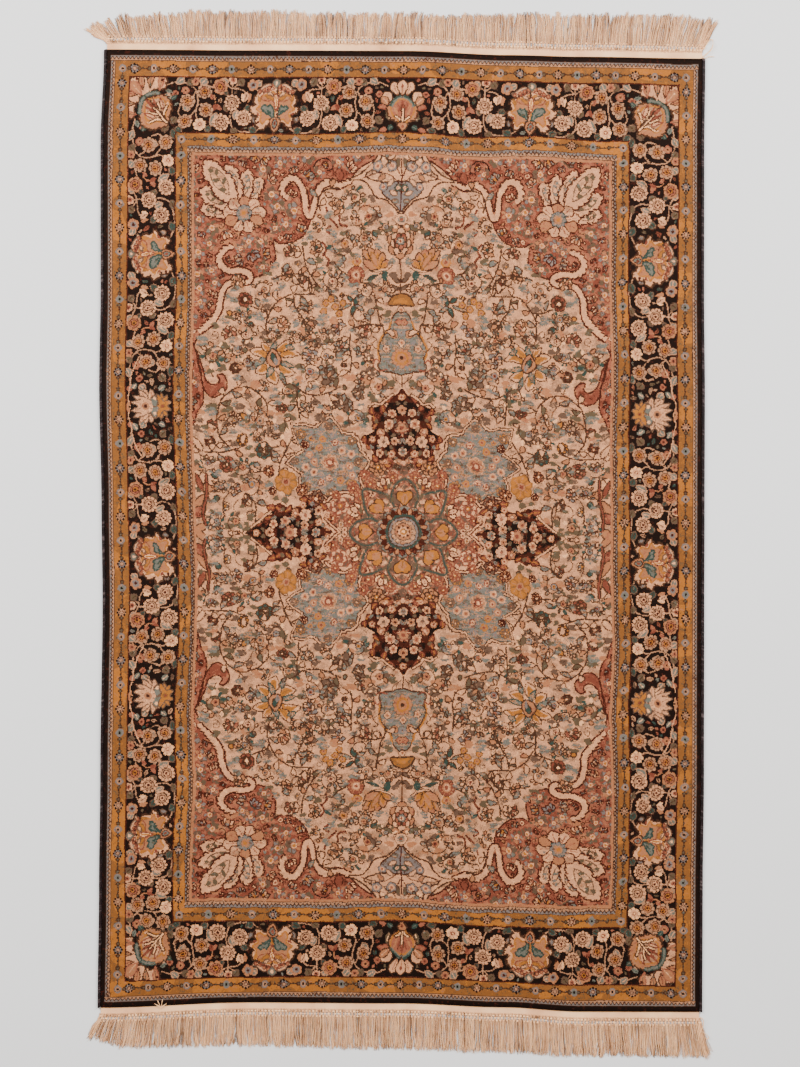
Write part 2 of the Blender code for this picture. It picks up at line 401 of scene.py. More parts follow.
def paint_corner():
    """The salmon corner piece with its pale saw-edged rim; gives back the ground inside it."""
    corner = [(330, 600), (34, 600), (34, 566), (50, 556), (66, 545), (80, 532), (100, 527), (116, 530),
        (128, 518), (134, 500), (140, 474), (144, 460), (152, 447), (168, 438), (186, 436), (196, 440),
        (193, 424), (194, 406), (206, 393), (222, 387), (246, 384), (262, 378), (274, 366), (277, 345),
        (284, 326), (296, 308), (306, 298), (314, 280), (318, 262), (330, 262)]
    patch(corner, SALMON, line=MAROON)
    patch([(330, 300), (330, 150), (316, 158), (310, 176), (303, 190), (300, 205), (302, 225), (308, 245),
        (312, 268)], SALMON, line=MAROON)
    corner_ground = chart == SALMON
    for points in ([(76, 529), (96, 522), (112, 527), (125, 520), (132, 505), (136, 488), (141, 477),
            (147, 484), (149, 500), (152, 516), (162, 531), (174, 531), (182, 519), (180, 507), (174, 505)],
            [(256, 430), (268, 427), (277, 417), (276, 405), (264, 396), (244, 396), (231, 390), (232, 381),
            (246, 379), (262, 378), (272, 368), (277, 350), (279, 334), (288, 320), (298, 309),
            (310, 298)]):
        path = smooth(points)
        step = np.gradient(path, axis=0)
        normal = np.stack([step[:, 1], -step[:, 0]], axis=1) / np.hypot(step[:, 0], step[:, 1])[:, None]
        s = np.linspace(0, 1, len(path))[:, None]
        half = 3.4 * np.clip(np.minimum(s * 6, (1 - s) * 8), 0.25, 1) ** 0.6
        saw = ((np.arange(len(path)) * 0.45 / 7.0) % 1.0)[:, None] * np.abs(2 * s - 1) ** 1.2
        for grow, colour in ((2.8, MAROON), (0.0, CREAM)):
            band = np.vstack([path + normal * (half + grow + 1.5 * saw), (path - normal
                * (half + grow + 4.5 * saw))[::-1]])
            fill(band, colour)
    # inside the corner piece: the great leaf, a flower with a slate ring, small flowers
    for n, (x, y, w) in enumerate(((214, 532, 24), (305, 488, 26), (234, 544, 24), (306, 516, 28),
            (266, 552, 26), (300, 558, 34))):
        side = np.array((y - 486.0, 246.0 - x)) / math.hypot(x - 246, y - 486) * w / 2
        base, tip = np.array((246.0, 486.0)), np.array((float(x), float(y)))
        edge = [tuple(base + (tip - base) * u + side * v) for u, v in ((0.2, 0.4), (0.45, 0.95),
            (0.62, 0.8), (0.8, 0.86), (1.0, 0.1), (0.84, -0.7), (0.66, -0.8), (0.45, -0.95), (0.2, -0.4))]
        patch(edge, CREAM, line=MAROON, tooth=3.0, pitch=9)
        leaf(base + (tip - base) * 0.3, base + (tip - base) * 0.88, w * 0.6, SAND, line=TAUPE, rib=VINE,
            blunt=1.1)
        for u, v in ((0.4, 0.24), (0.5, -0.3), (0.6, 0.3), (0.7, -0.24), (0.78, 0.16)):
            spot = base + (tip - base) * u
            leaf(spot, spot + (tip - base) * 0.09 + side * v * 2, w * 0.18, (MIST, OLIVE)[n % 2])
    for k in range(9):
        a = 0.7 * k + 0.2
        leaf(around(240, 478, 8, a, 7), around(240, 478, 34, a, 27), 19, (CREAM, SAND, PEACH)[k % 3],
            line=MAROON, rib=SALMON, blunt=1.5)
    rosette(240, 480, 12, 8, ((1, LILAC), (0.72, MIST), (0.5, PEACH), (0.25, ORANGE)), notch=0.25, rim=TEAL)
    for x, y, r in ((290, 482, 8), (276, 462, 8), (254, 446, 7), (292, 462, 6), (220, 456, 7)):
        tendril(x, y, r, 1.4, x, 1, 1.3)
    ribbon([(135, 550), (128, 560), (116, 563), (107, 556), (106, 547), (113, 545)], 1.8, NIGHT)
    ribbon([(132, 551), (124, 552), (119, 556)], 3, MAROON)
    leaf((93, 530), (97, 548), 13, RUST, line=MAROON)
    # the rose scroll on the long side
    patch([(310, 268), (303, 250), (298, 232), (290, 223), (281, 221), (276, 227), (279, 235), (272, 236),
        (265, 228), (265, 216), (273, 206), (285, 202), (295, 208), (301, 222), (305, 240)], SALMON,
        line=MAROON)
    patch([(302, 240), (296, 226), (286, 218), (276, 218), (270, 224), (270, 216), (276, 209), (286, 206),
        (295, 214)], RUST)
    ribbon([(313, 272), (300, 262), (292, 244), (284, 232)], 1.4, VINE)

    return corner_ground


def paint_pendant():
    """What stands on the long axis, from the top pendant, cut by the border, down to its slate head."""
    patch([(0, 600), (36, 600), (38, 566), (48, 552), (62, 540), (80, 531), (60, 529), (48, 518), (40, 506),
        (22, 500), (10, 490), (0, 480), (-12, 490), (-22, 500), (-22, 600)], CREAM, line=VINE)
    patch([(0, 600), (30, 600), (32, 562), (44, 546), (56, 537), (44, 530), (20, 526), (0, 525)], SAND,
        line=VINE)
    patch([(0, 525), (22, 522), (30, 512), (16, 500), (6, 490), (0, 486)], LILAC, line=VINE)
    ribbon([(0, 486), (0, 560)], 1.6, MAROON)
    ribbon([(2, 520), (14, 534), (34, 540), (60, 533)], 1.6, MAROON)
    ribbon([(2, 536), (10, 550), (24, 560), (32, 566)], 1.6, MAROON)
    for x, y, x2, y2, c in ((12, 530, 24, 520, CREAM), (26, 538, 36, 528, PEACH), (40, 538, 44, 548, CREAM),
            (8, 546, 4, 562, OLIVE), (16, 554, 26, 548, CREAM), (24, 560, 20, 572, MIST),
            (6, 508, 18, 514, CREAM), (4, 498, 14, 500, MIST)):
        leaf((x, y), (x2, y2), 7, c, line=TAUPE)
    for x, y, r, c in ((37, 549, 8, LILAC), (15, 549, 8, LILAC), (28, 520, 6, LILAC), (5, 518, 5, TEAL)):
        blossom(x, y, r, 5, c, CREAM, SALMON, turn=x)
    # the axis: small cream flower, tall peach flower, gold cap
    blossom(0, 472, 9, 6, CREAM, MIST, SALMON)
    for k, (r, c) in enumerate(((24, PEACH), (18, CREAM), (12, SALMON))):
        for j in range(7):
            a = math.radians(-90 + 51.4 * j + 25 * k)
            leaf(around(0, 440, 3, a), around(0, 440, r * 0.86, a, r * 1.15), r * 0.7, c, line=VINE,
                blunt=1.4)
    blossom(0, 440, 6, 6, MIST, IVORY, RUST)
    ribbon([(0, 412), (0, 362)], 1.6, VINE)
    for y in (384, 372):
        leaf((1, y - 4), (12, y + 4), 6, TAUPE, line=VINE)
    patch([(0, 362), (10, 360), (16, 353), (18, 344), (0, 345), (-18, 344), (-10, 360)], GOLD, line=VINE)
    patch([(0, 355), (7, 353), (11, 347), (0, 348), (-11, 347)], ORANGE)
    blossom(0, 338, 5, 5, CREAM, PEACH, RUST)
    # the slate head of the pendant
    patch([(0, 332), (10, 330), (16, 318), (20, 304), (30, 292), (36, 276), (33, 262), (36, 250), (28, 243),
        (14, 242), (0, 238), (-20, 244), (-20, 304)], MIST, line=VINE)
    ribbon([(15, 322), (21, 306), (31, 294), (37, 276), (35, 262)], 2.6, ORANGE)
    ribbon([(24, 246), (36, 244), (44, 252), (40, 262), (34, 258)], 2.0, RUST)
    ribbon([(36, 274), (44, 284), (38, 292), (46, 296), (54, 288), (50, 280)], 1.3, VINE)
    rosette(0, 263, 15, 12, ((1, PEACH), (0.72, ORANGE), (0.45, PEACH), (0.2, VINE)), notch=0.16,
        gap=SALMON, rim=TAUPE)
    for x, y, r, c in ((12, 300, 6, PEACH), (24, 278, 5, CREAM), (4, 318, 5, SALMON), (0, 286, 5, CREAM)):
        blossom(x, y, r, 5, c, PEACH, RUST)
    for x, y, x2, y2 in ((6, 308, 0, 296), (20, 290, 14, 282), (24, 262, 20, 252), (10, 246, 4, 252)):
        leaf((x, y), (x2, y2), 5, LILAC)
    ribbon([(0, 238), (0, 218)], 1.4, VINE)
    for x, y in ((8, 232), (14, 236)):
        ribbon([(2, 224), (x, y - 2), (x + 2, y + 6)], 1.2, VINE)


def paint_flowers():
    """The single flowers of the field, each at its own place."""
    # the gold lily with its slate leaves
    for x, y, x2, y2, w, bend in ((204, 262, 230, 274, 15, 3), (206, 252, 222, 238, 15, -2),
            (198, 246, 192, 221, 17, 2), (186, 250, 164, 240, 15, 3), (186, 264, 156, 268, 15, -6),
            (190, 272, 172, 292, 14, 3), (202, 272, 214, 286, 11, 0)):
        leaf((x, y), (x2, y2), w, CREAM, line=VINE, blunt=0.95, bend=bend)
        leaf((x, y), ((x + x2 * 4) / 5, (y + y2 * 4) / 5), w * 0.6, ORANGE, rib=GOLD, bend=bend)
    for x, y, x2, y2 in ((200, 268, 190, 288), (206, 262, 224, 248), (196, 250, 204, 232),
            (184, 240, 180, 222), (184, 256, 164, 250), (176, 282, 164, 276)):
        leaf((x, y), (x2, y2), 8, MIST, line=TEAL)
    patch([(196, 276), (186, 266), (184, 254), (192, 248), (202, 252), (206, 264)], PEACH, line=VINE)
    leaf((198, 270), (190, 252), 9, TEAL, line=VINE)
    leaf((192, 262), (190, 250), 6, LILAC)

    # the fan flower, its round neighbours and the teal leaves
    for x2, y2, w in ((60, 428, 13), (50, 432, 13), (38, 430, 13), (28, 424, 12), (18, 412, 11)):
        leaf((30, 400), (x2, y2), w, PEACH, line=VINE, blunt=1.3)
        leaf((30, 400), ((30 + x2 * 4) / 5, (400 + y2 * 4) / 5), w * 0.55, ORANGE, rib=GOLD, blunt=1.2)
    leaf((34, 398), (58, 412), 12, PEACH, line=VINE, blunt=1.2)
    leaf((32, 398), (46, 424), 8, PEACH, line=GOLD, blunt=1.3)
    ribbon([(60, 420), (54, 404), (40, 395), (24, 396), (12, 404)], 1.6, VINE)
    leaf((24, 398), (22, 380), 11, TEAL)
    leaf((34, 390), (56, 382), 7, TEAL)
    ribbon([(24, 394), (40, 388), (54, 384)], 1.4, VINE)
    rosette(68, 410, 8, 6, ((1, ORANGE), (0.6, PEACH), (0.3, RUST)), notch=0.2)
    rosette(69, 390, 13, 14, ((1, RUST), (0.55, PEACH), (0.42, CREAM), (0.2, RUST)), notch=0.1, gap=PEACH,
        rim=VINE)
    for n, (x, y, x2, y2, w) in enumerate(((70, 344, 66, 362, 9), (70, 344, 56, 336, 8),
            (72, 344, 76, 328, 9), (76, 346, 100, 338, 8), (74, 350, 84, 360, 7), (98, 350, 112, 362, 9),
            (44, 456, 36, 446, 10))):
        leaf((x, y), (x2, y2), w - 1, (TEAL, MIST)[n % 2], line=VINE)
    for x, y in ((90, 348), (102, 342), (108, 354), (116, 348), (120, 336), (96, 332)):
        blossom(x, y, 5, 5, ORANGE, PEACH, RUST)
    # dark red hook leaves above them
    for points in ([(116, 490), (112, 476), (104, 468), (98, 462)], [(96, 478), (94, 466), (84, 462)],
            [(110, 462), (116, 457), (108, 450), (96, 446)], [(118, 420), (112, 412), (114, 404)],
            [(94, 446), (90, 438), (82, 434)], [(122, 438), (116, 430), (120, 420)]):
        ribbon(points, 3.2, MAROON)
        ribbon(points, 1.0, RUST)
    # the dark red pink and other flowers of the field
    peony(239, 352, 12, RUST, MAROON, IVORY)
    for x, y, r, a, b, c in ((113, 238, 16, OLIVE, TAUPE, PEACH), (94, 280, 14, TAUPE, CREAM, SALMON),
            (93, 196, 16, OLIVE, TAUPE, CREAM), (64, 234, 10, TAUPE, OLIVE, RUST),
            (66, 212, 11, OLIVE, TAUPE, CREAM), (183, 186, 9, RUST, TAUPE, MAROON),
            (212, 218, 10, CREAM, MIST, SALMON), (146, 188, 10, TAUPE, MIST, CREAM),
            (268, 102, 12, RUST, SALMON, VINE), (258, 66, 10, LILAC, CREAM, SALMON),
            (212, 122, 13, TEAL, OLIVE, CREAM), (132, 430, 11, CREAM, PEACH, TEAL),
            (168, 425, 11, CREAM, SALMON, VINE), (176, 392, 10, CREAM, PEACH, SALMON),
            (150, 378, 11, CREAM, TAUPE, RUST), (182, 314, 12, CREAM, PEACH, SALMON),
            (142, 316, 12, CREAM, TAUPE, SALMON), (98, 312, 11, CREAM, LILAC, SALMON),
            (56, 308, 11, CREAM, SALMON, RUST), (146, 344, 10, CREAM, PEACH, TEAL),
            (142, 270, 12, CREAM, LILAC, SALMON), (250, 380, 10, CREAM, PEACH, SALMON),
            (262, 300, 11, CREAM, SALMON, RUST), (252, 245, 9, MAROON, TAUPE, PEACH),
            (288, 160, 9, RUST, TAUPE, MAROON), (292, 136, 9, MAROON, SALMON, PEACH),
            (100, 492, 12, CREAM, PEACH, TAUPE), (244, 138, 9, ORANGE, TAUPE, GOLD),
            (240, 48, 8, RUST, LILAC, CREAM)):
        if a in (CREAM, LILAC, OLIVE, TAUPE):
            a, b = (MIST, b) if a == OLIVE else (SAND, MIST) if a == TAUPE else (a, b)
            sprig(x, y, r * 1.3, x, a, b, c, calyx=(MIST, TEAL, OLIVE)[int(x) % 3])
            sprig(*around(x, y, 4, x + 2.6), r * 0.9, x + 2.6, b, a, c)
        else:
            peony(x, y, r, a, b, c, turn=x)


# The long vines, by listed points.
STEMS = ([(264, 128), (276, 142), (280, 160), (279, 180), (272, 198), (260, 210), (245, 216),
    (226, 213), (211, 202), (204, 188), (206, 174)], [(300, 121), (280, 120), (262, 122), (250, 126),
    (238, 130)], [(192, 84), (187, 104), (178, 124), (168, 142)], [(166, 222), (152, 212), (140, 208),
    (124, 208), (108, 214), (94, 220)], [(161, 212), (159, 190), (157, 168)],
    [(79, 302), (80, 280), (78, 260), (80, 242)], [(206, 296), (206, 318), (200, 334), (190, 348),
    (172, 360), (150, 361), (134, 361)], [(200, 336), (214, 336), (230, 342)],
    [(166, 358), (162, 340), (152, 324), (146, 308)], [(152, 432), (149, 412), (141, 392), (126, 372)],
    [(104, 410), (96, 398), (84, 392)], [(198, 384), (184, 389), (166, 391), (150, 389), (140, 380),
    (138, 366)], [(125, 486), (129, 504), (118, 516), (98, 520)], [(242, 58), (230, 50), (226, 34),
    (228, 16)], [(200, 100), (212, 92), (226, 90)], [(220, 120), (204, 124), (190, 128)],
    [(40, 360), (37, 340), (34, 322), (28, 310), (26, 296)], [(28, 314), (50, 316), (76, 310)])


def paint_vines():
    """The leafy vines, the curls between them, and the half flower on the long side."""
    for points in STEMS:
        leafy(points, 13, 15, (CREAM, MIST, SAND, PEACH, CREAM, OLIVE), first=1 if len(points) % 2 else -1)
    for x, y, r, turns, start, way in ((246, 182, 22, 1.5, 0.5, 1), (250, 36, 30, 1.3, 1.2, -1),
            (150, 330, 14, 1.4, 2, 1), (120, 400, 12, 1.3, 1, -1), (66, 330, 12, 1.2, 3, 1),
            (296, 330, 8, 1.2, 0, 1), (176, 118, 10, 1.2, 4, -1), (300, 20, 12, 1.3, 2, 1)):
        tendril(x, y, r, turns, start, way, 1.3)
    scatter(chart == SAND, accent_leaf, 260, 12, (SAND,), (7, 11), 0.9)
    # half flower on the long side, seen from the side, with stiff cream petals
    for x, y, x2, y2, w, c in ((318, 0, 300, 14, 12, PEACH), (318, 20, 302, 44, 15, SALMON),
            (318, 36, 296, 60, 12, PEACH), (312, 66, 286, 66, 13, PEACH), (308, 72, 304, 90, 11, CREAM),
            (306, 60, 316, 86, 9, SALMON), (304, 122, 318, 140, 10, CREAM), (310, 118, 318, 124, 8, CREAM),
            (318, 100, 304, 92, 10, TAUPE)):
        leaf((x, y), (x2, y2), w, c, line=VINE, rib=RUST if c == SALMON else None)
    ribbon([(300, 88), (300, 60), (306, 30), (302, 8)], 2.4, RUST, line=VINE)


def paint_medallion():
    """The medallion: a round star in each quarter, a salmon heart and dark pendants; gives back its place."""
    before = chart.copy()
    patch([(0, 219), (7, 211), (15, 206), (22, 196), (27, 190), (36, 192), (45, 188), (44, 174), (38, 164),
        (46, 154), (57, 146), (58, 138), (50, 128), (47, 116), (38, 106), (24, 102), (0, 100), (-20, 110),
        (-20, 200)], NIGHT, line=CREAM)
    patch([(244, 0), (234, 7), (222, 15), (212, 22), (204, 28), (202, 38), (190, 44), (176, 38), (164, 38),
        (154, 46), (142, 46), (130, 36), (124, 22), (112, 12), (108, 0), (116, -14), (240, -8)], NIGHT,
        line=CREAM)
    patch([(0, 108), (30, 106), (44, 104), (60, 96), (66, 78), (60, 62), (74, 54), (92, 52), (108, 46),
        (116, 36), (124, 20), (116, 8), (108, 0), (108, -20), (-20, -20), (-20, 108)], SALMON, line=CREAM)
    # the round star: eight uneven points, a cream line between two dark ones, orange in its corners
    reaches = (68, 46, 82, 59, 72, 52, 60, 52, 62, 50, 68, 50, 64, 52, 71, 49, 68)     # tip, notch, tip
    for inward, colour in ((0, VINE), (2.2, CREAM), (4.8, VINE), (7, MIST)):
        reach = [np.interp(k, np.arange(17) * 22.5, reaches) - inward + 2.0 * (k % 12) / 12
            for k in range(360)]
        patch([around(112, 105, reach[k], math.radians(k)) for k in range(360)], colour, raw=True)
    for x, y, r, c in ((155, 147, 8, ORANGE), (113, 160, 6, PEACH), (165, 106, 6, SALMON),
            (150, 66, 8, ORANGE), (80, 72, 9, ORANGE), (70, 106, 7, PEACH), (112, 56, 7, ORANGE),
            (78, 138, 7, ORANGE)):
        peony(x, y, r, c, (GOLD, ORANGE)[int(x) % 2], PEACH, rim=TAUPE, turn=x)
    rosette(113, 104, 12, 8, ((1, PEACH), (0.76, SALMON), (0.5, RUST), (0.25, CREAM)), notch=0.28, gap=RUST,
        rim=SAND)
    for k in range(14):
        x, y = 112 + 40 * math.cos(2.4 * k) * (0.6 + k / 35), 105 + 40 * math.sin(2.4 * k) * (0.6 + k / 35)
        blossom(x, y, 6, 5, (PEACH, CREAM, SALMON, ORANGE)[k % 4], (CREAM, PEACH)[k % 2], RUST, rim=LILAC,
            turn=k)
    # gold flower and rose scrolls between star and side pendant
    for k in range(6):
        a = math.radians(60 * k + 20)
        leaf(around(180, 75, 4, a), around(180, 75, 17, a, 19), 14, ORANGE, line=GOLD, rib=PEACH, blunt=1.4)
    rosette(180, 75, 6, 5, ((1, PEACH), (0.5, RUST)), rim=GOLD)
    for x, y, r, c in ((134, 48, 12, SALMON), (156, 62, 9, PEACH), (206, 92, 8, PEACH), (200, 62, 6, CREAM),
            (150, 132, 6, CREAM)):
        peony(x, y, r, c, PEACH, CREAM, rim=MAROON, turn=y)
    ribbon([(118, 44), (108, 54), (92, 60), (78, 56), (70, 46), (76, 42)], 2.6, CREAM, line=MAROON)
    ribbon([(62, 92), (66, 78), (60, 66), (52, 60), (56, 52), (64, 56)], 2.6, CREAM, line=MAROON)
    ribbon([(46, 106), (30, 98), (18, 88), (10, 78), (14, 70), (22, 76)], 2.2, CREAM, line=MAROON)
    ribbon([(120, 20), (108, 8), (98, 0)], 2.2, CREAM, line=MAROON)
    # the heart of the medallion: rose flowers on rust, a lattice of slate vines, eight peach hearts
    for x, y, r in ((40, 99, 14), (18, 84, 9), (99, 38, 14), (84, 16, 9), (66, 52, 12), (52, 72, 10),
            (78, 66, 9), (22, 106, 7), (108, 20, 7), (104, 54, 7), (60, 88, 7)):
        peony(x, y, r, (PEACH, CREAM)[int(x) % 2], (SALMON, PEACH)[int(y) % 2], ORANGE,
            rim=(RUST, VINE)[int(y) % 2], turn=x)
    for x, y, turn in ((31, 73, 70), (72, 32, 20)):
        b = math.radians(turn)
        base = around(x, y, -7, b)
        for da, r, colour in ((-70, 14, PEACH), (70, 14, PEACH), (-36, 17, IVORY), (36, 17, IVORY),
                (0, 19, CREAM)):
            leaf(base, around(*base, r, math.radians(turn + da)), 9, colour, line=MAROON, rib=SALMON,
                blunt=1.5)
        rosette(*around(x, y, -5, b), 4, 5, ((1, RUST), (0.5, ORANGE)), rim=VINE, notch=0.2)
    for k in range(8):
        a, b = math.radians(45 * k + 22.5), math.radians(45 * k + 45 + 22.5)
        far = 82 if k % 2 else 90
        ribbon([around(0, 0, *spot) for spot in ((40, a), (58, a + 0.02), (74, a + 0.2), (far, (a + b) / 2),
            (74, b - 0.2), (58, b - 0.02), (40, b))], 2.2, TEAL, line=TAUPE)
        for r, d in ((52, 0.09), (60, -0.1), (72, 0.16)):
            leaf(around(0, 0, r, a), around(0, 0, r + 7, a + d), 5, OLIVE)
    for k in range(9):
        a = math.radians(90 - 45 * k)
        x, y = 53 * math.cos(a) * 1.08, 53 * math.sin(a)
        for side in (-1, 1):
            tip = (x + 12 * math.cos(a) + side * 8 * math.sin(a), y + 12 * math.sin(a) - side * 8
                * math.cos(a))
            leaf(around(x, y, -13, a), tip, 16, ORANGE, line=VINE, blunt=1.8)
        leaf(around(x, y, -10, a), around(x, y, 7, a), 12, PEACH, rib=GOLD, blunt=1.6)
    rosette(0, 0, 41, 16, ((1, MIST),), notch=0.1, rim=VINE)
    for k in range(24):
        a = math.radians(15 * k)
        leaf(around(0, 0, 24, a), around(0, 0, 38, a), 7.5, PEACH if k % 2 else MAROON, line=MAROON,
            blunt=1.5)
    rosette(0, 0, 28, 24, ((1, TEAL), (0.88, VINE), (0.82, LILAC)), notch=0.04)
    rosette(0, 0, 19, 12, ((1, SAND), (0.76, TAUPE), (0.66, PEACH), (0.42, CREAM)), notch=0.14, gap=VINE,
        rim=VINE)
    for k in range(8):
        a = math.radians(45 * k)
        dot(*around(0, 0, 8.5, a), 1.6, MAROON)
    rosette(0, 0, 5, 6, ((1, GOLD), (0.5, IVORY)), notch=0.1)
    # the dark pendants: flowers round a rose-coloured one, grey leaves between, rust scrolls at the edge
    for fx in (0, 1):
        def at(a, b):
            return (108 + (b - 100) * 1.14, a * 0.86) if fx else (a, b)
        for a, b, a2, b2, w in ((12, 206, 24, 196, 8), (30, 196, 26, 182, 9), (46, 190, 44, 176, 10),
                (45, 178, 36, 166, 9), (36, 166, 46, 156, 7), (57, 146, 57, 134, 9), (56, 134, 48, 126, 8),
                (48, 118, 38, 108, 9), (30, 104, 18, 103, 7)):
            leaf(at(a, b), at(a2, b2), w, RUST, line=MAROON, rib=ORANGE, blunt=1.2, bend=1.5)
        for a, b, r, n, edge, core, heart in ((0, 204, 5.5, 5, PEACH, CREAM, RUST),
                (0, 185, 7, 6, SAND, PEACH, MAROON), (15, 180, 6.5, 5, CREAM, PEACH, RUST),
                (0, 158, 11, 9, SALMON, PEACH, RUST), (20, 164, 7.5, 6, SAND, PEACH, RUST),
                (33, 151, 6.5, 5, PEACH, SALMON, CREAM), (29, 137, 9, 6, CREAM, SAND, SALMON),
                (12, 139, 6.5, 5, SAND, PEACH, MAROON), (46, 141, 5.5, 5, PEACH, CREAM, RUST),
                (0, 123, 7, 6, SAND, MIST, SALMON), (17, 119, 6.5, 5, PEACH, CREAM, RUST),
                (36, 120, 6, 5, SAND, PEACH, MAROON), (7, 108, 4.5, 5, PEACH, SALMON, CREAM),
                (27, 108, 4.5, 5, PEACH, CREAM, RUST)):
            x, y = at(a, b)
            rosette(x, y, r, n, ((1, edge), (0.6, core), (0.3, heart)), notch=0.26, gap=MAROON, turn=b)
        for a, b, a2, b2, colour in ((9, 172, 14, 164, MIST), (10, 150, 18, 146, OLIVE),
                (22, 152, 26, 160, MIST), (20, 130, 14, 128, OLIVE), (40, 130, 34, 128, MIST),
                (5, 134, 1, 144, MIST), (28, 124, 24, 116, OLIVE), (26, 176, 24, 184, MIST),
                (4, 192, 8, 198, OLIVE), (42, 166, 36, 172, OLIVE), (46, 126, 50, 132, MIST),
                (9, 116, 12, 110, MIST)):
            leaf(at(a, b), at(a2, b2), 5.5, colour, rib=TAUPE)
    ribbon([(50, 190), (42, 196), (32, 194), (26, 200), (14, 208)], 2.4, CREAM, line=VINE)
    ribbon([(246, 0), (232, 10), (216, 22), (204, 32)], 2.4, CREAM, line=VINE)

    return chart != before


def fill_field(corner_ground, medallion):
    """Fills what is left of each ground with small motifs, then makes the grounds uneven."""
    inside = np.zeros_like(medallion)
    inside[MIDDLE:MIDDLE + 568, :318] = True             # the upper half of the field, just past its line
    outside = inside & ~medallion

    def flowers(edges, rim):
        """Small flowers of one colouring."""
        return lambda rng, x, y, size: small_flower(rng, x, y, size, edges, rim)

    for tries, seed, spread in ((900, 50, (5, 7)), (2500, 51, (3.2, 5))):
        scatter(inside & medallion, flowers((PEACH, CREAM, MIST, SAND), VINE), tries, seed, (SALMON,), spread,
            0.8)
    scatter((chart == SALMON) & ~medallion, soft_bloom, 300, 19, (SALMON,), (10, 13), 0.86)
    warm = (MIST, CREAM, PEACH, LILAC, SAND, CREAM, MIST)
    for tries, seed, spread in ((4000, 4, (9, 12)), (6000, 5, (7, 9.5)), (9000, 6, (5, 7)),
            (9000, 7, (2.8, 4.4))):
        scatter(corner_ground, flowers(warm, MAROON), tries, seed, (SALMON,), spread, 0.8)
    scatter(outside, smear, 900, 17, (SAND,), (6, 11), 0.6)
    for tries, seed, spread in ((5000, 18, (15, 21)), (7000, 19, (12, 16)), (9000, 20, (9.5, 12))):
        scatter(outside, curling_vine, tries, seed, (SAND, MIST, OLIVE, TAUPE, PEACH), spread, 0.93)
    for tries, seed, spread in ((9000, 21, (9, 12)), (12000, 22, (6.5, 9)), (9000, 23, (5, 6.5))):
        scatter(outside, small_flower, tries, seed, (SAND,), spread, 0.93)
    for tries, seed, spread in ((3000, 30, (6, 8)), (4000, 31, (4, 6)), (9000, 32, (2.6, 4.0))):
        for ground, edges, rim in ((SALMON, (PEACH, CREAM, ORANGE, LILAC), MAROON),
                (MIST, (PEACH, SALMON, ORANGE, SAND), LILAC)):
            scatter(inside, flowers(edges, rim), tries, seed, (ground,), spread)
    for points in STEMS:
        ribbon(points, 2.2, VINE)
    mottle(inside & medallion, SALMON, ((0.0, 0.4, TAUPE), (0.64, 1.0, SAND)), 44, (4, 5))
    mottle(inside & medallion, NIGHT, ((0.46, 1.0, MAROON),), 45, (6, 6))
    mottle(inside, SAND, ((0.0, 0.14, PEACH), (0.4, 0.84, CREAM), (0.84, 0.93, MIST)), 41, (7, 11))
    mottle(inside, SALMON, ((0.0, 0.44, RUST), (0.8, 1.0, PEACH)), 42, (5, 8))
    mottle(inside, MIST, ((0.0, 0.24, TAUPE), (0.42, 0.5, LILAC), (0.62, 0.78, SAND), (0.78, 0.86, OLIVE),
        (0.86, 1.0, PEACH)), 43, (2, 9))

# ---------------------------------------------------------------- the borders of the chart
# A broad dark border of turned palmettes and flower sprays, between two gold guard stripes with chain
# lines and two narrow zigzag stripes. Each is a band between two of these nested rectangles.
HALF = {"edge": (456, 726), "zigzag": (450, 718), "guard": (442, 709), "border": (420, 686),
    "inner_guard": (346, 600), "inner_zigzag": (328, 580), "line": (321, 570), "field": (317, 566)}
SIDE_EDGE, END_EDGE = HALF["inner_guard"]
SIDE_DEPTH, DRAWN_DEPTH = 74.0, 86                # the border's depth on the long sides, and as drawn
DRAWN_RUN = 196.0                                 # the length of a spray as drawn
END_PALMETTE, SIDE_PALMETTES, SIDE_STARS = 196, (416, -44, -466), (183, -256)
ACROSS, ALONG = np.meshgrid(np.arange(COLUMNS) + 0.5, np.abs(np.arange(ROWS) + 0.5 - MIDDLE))


def within(name, margin=0):
    """The knots inside one of the nested rectangles."""
    return (ACROSS < HALF[name][0] + margin) & (ALONG < HALF[name][1] + margin)


def frame_band(outer, inner, colour):
    """Fills the band between two nested rectangles."""
    chart[within(outer) & ~within(inner)] = colour


def round_flower(x, y, radius, shades, petals, points):
    """A round border flower: scalloped petals, a dark line, a paler ring and a small outlined star."""
    edge, ring, heart = shades
    rosette(x, y, radius - 0.6, petals, ((1, edge), (0.66, VINE), (0.57, ring)), notch=0.22, gap=VINE)
    rosette(x, y, radius * 0.43, points, ((1, MAROON), (0.66, heart), (0.36, MAROON)), notch=0.4, turn=x)


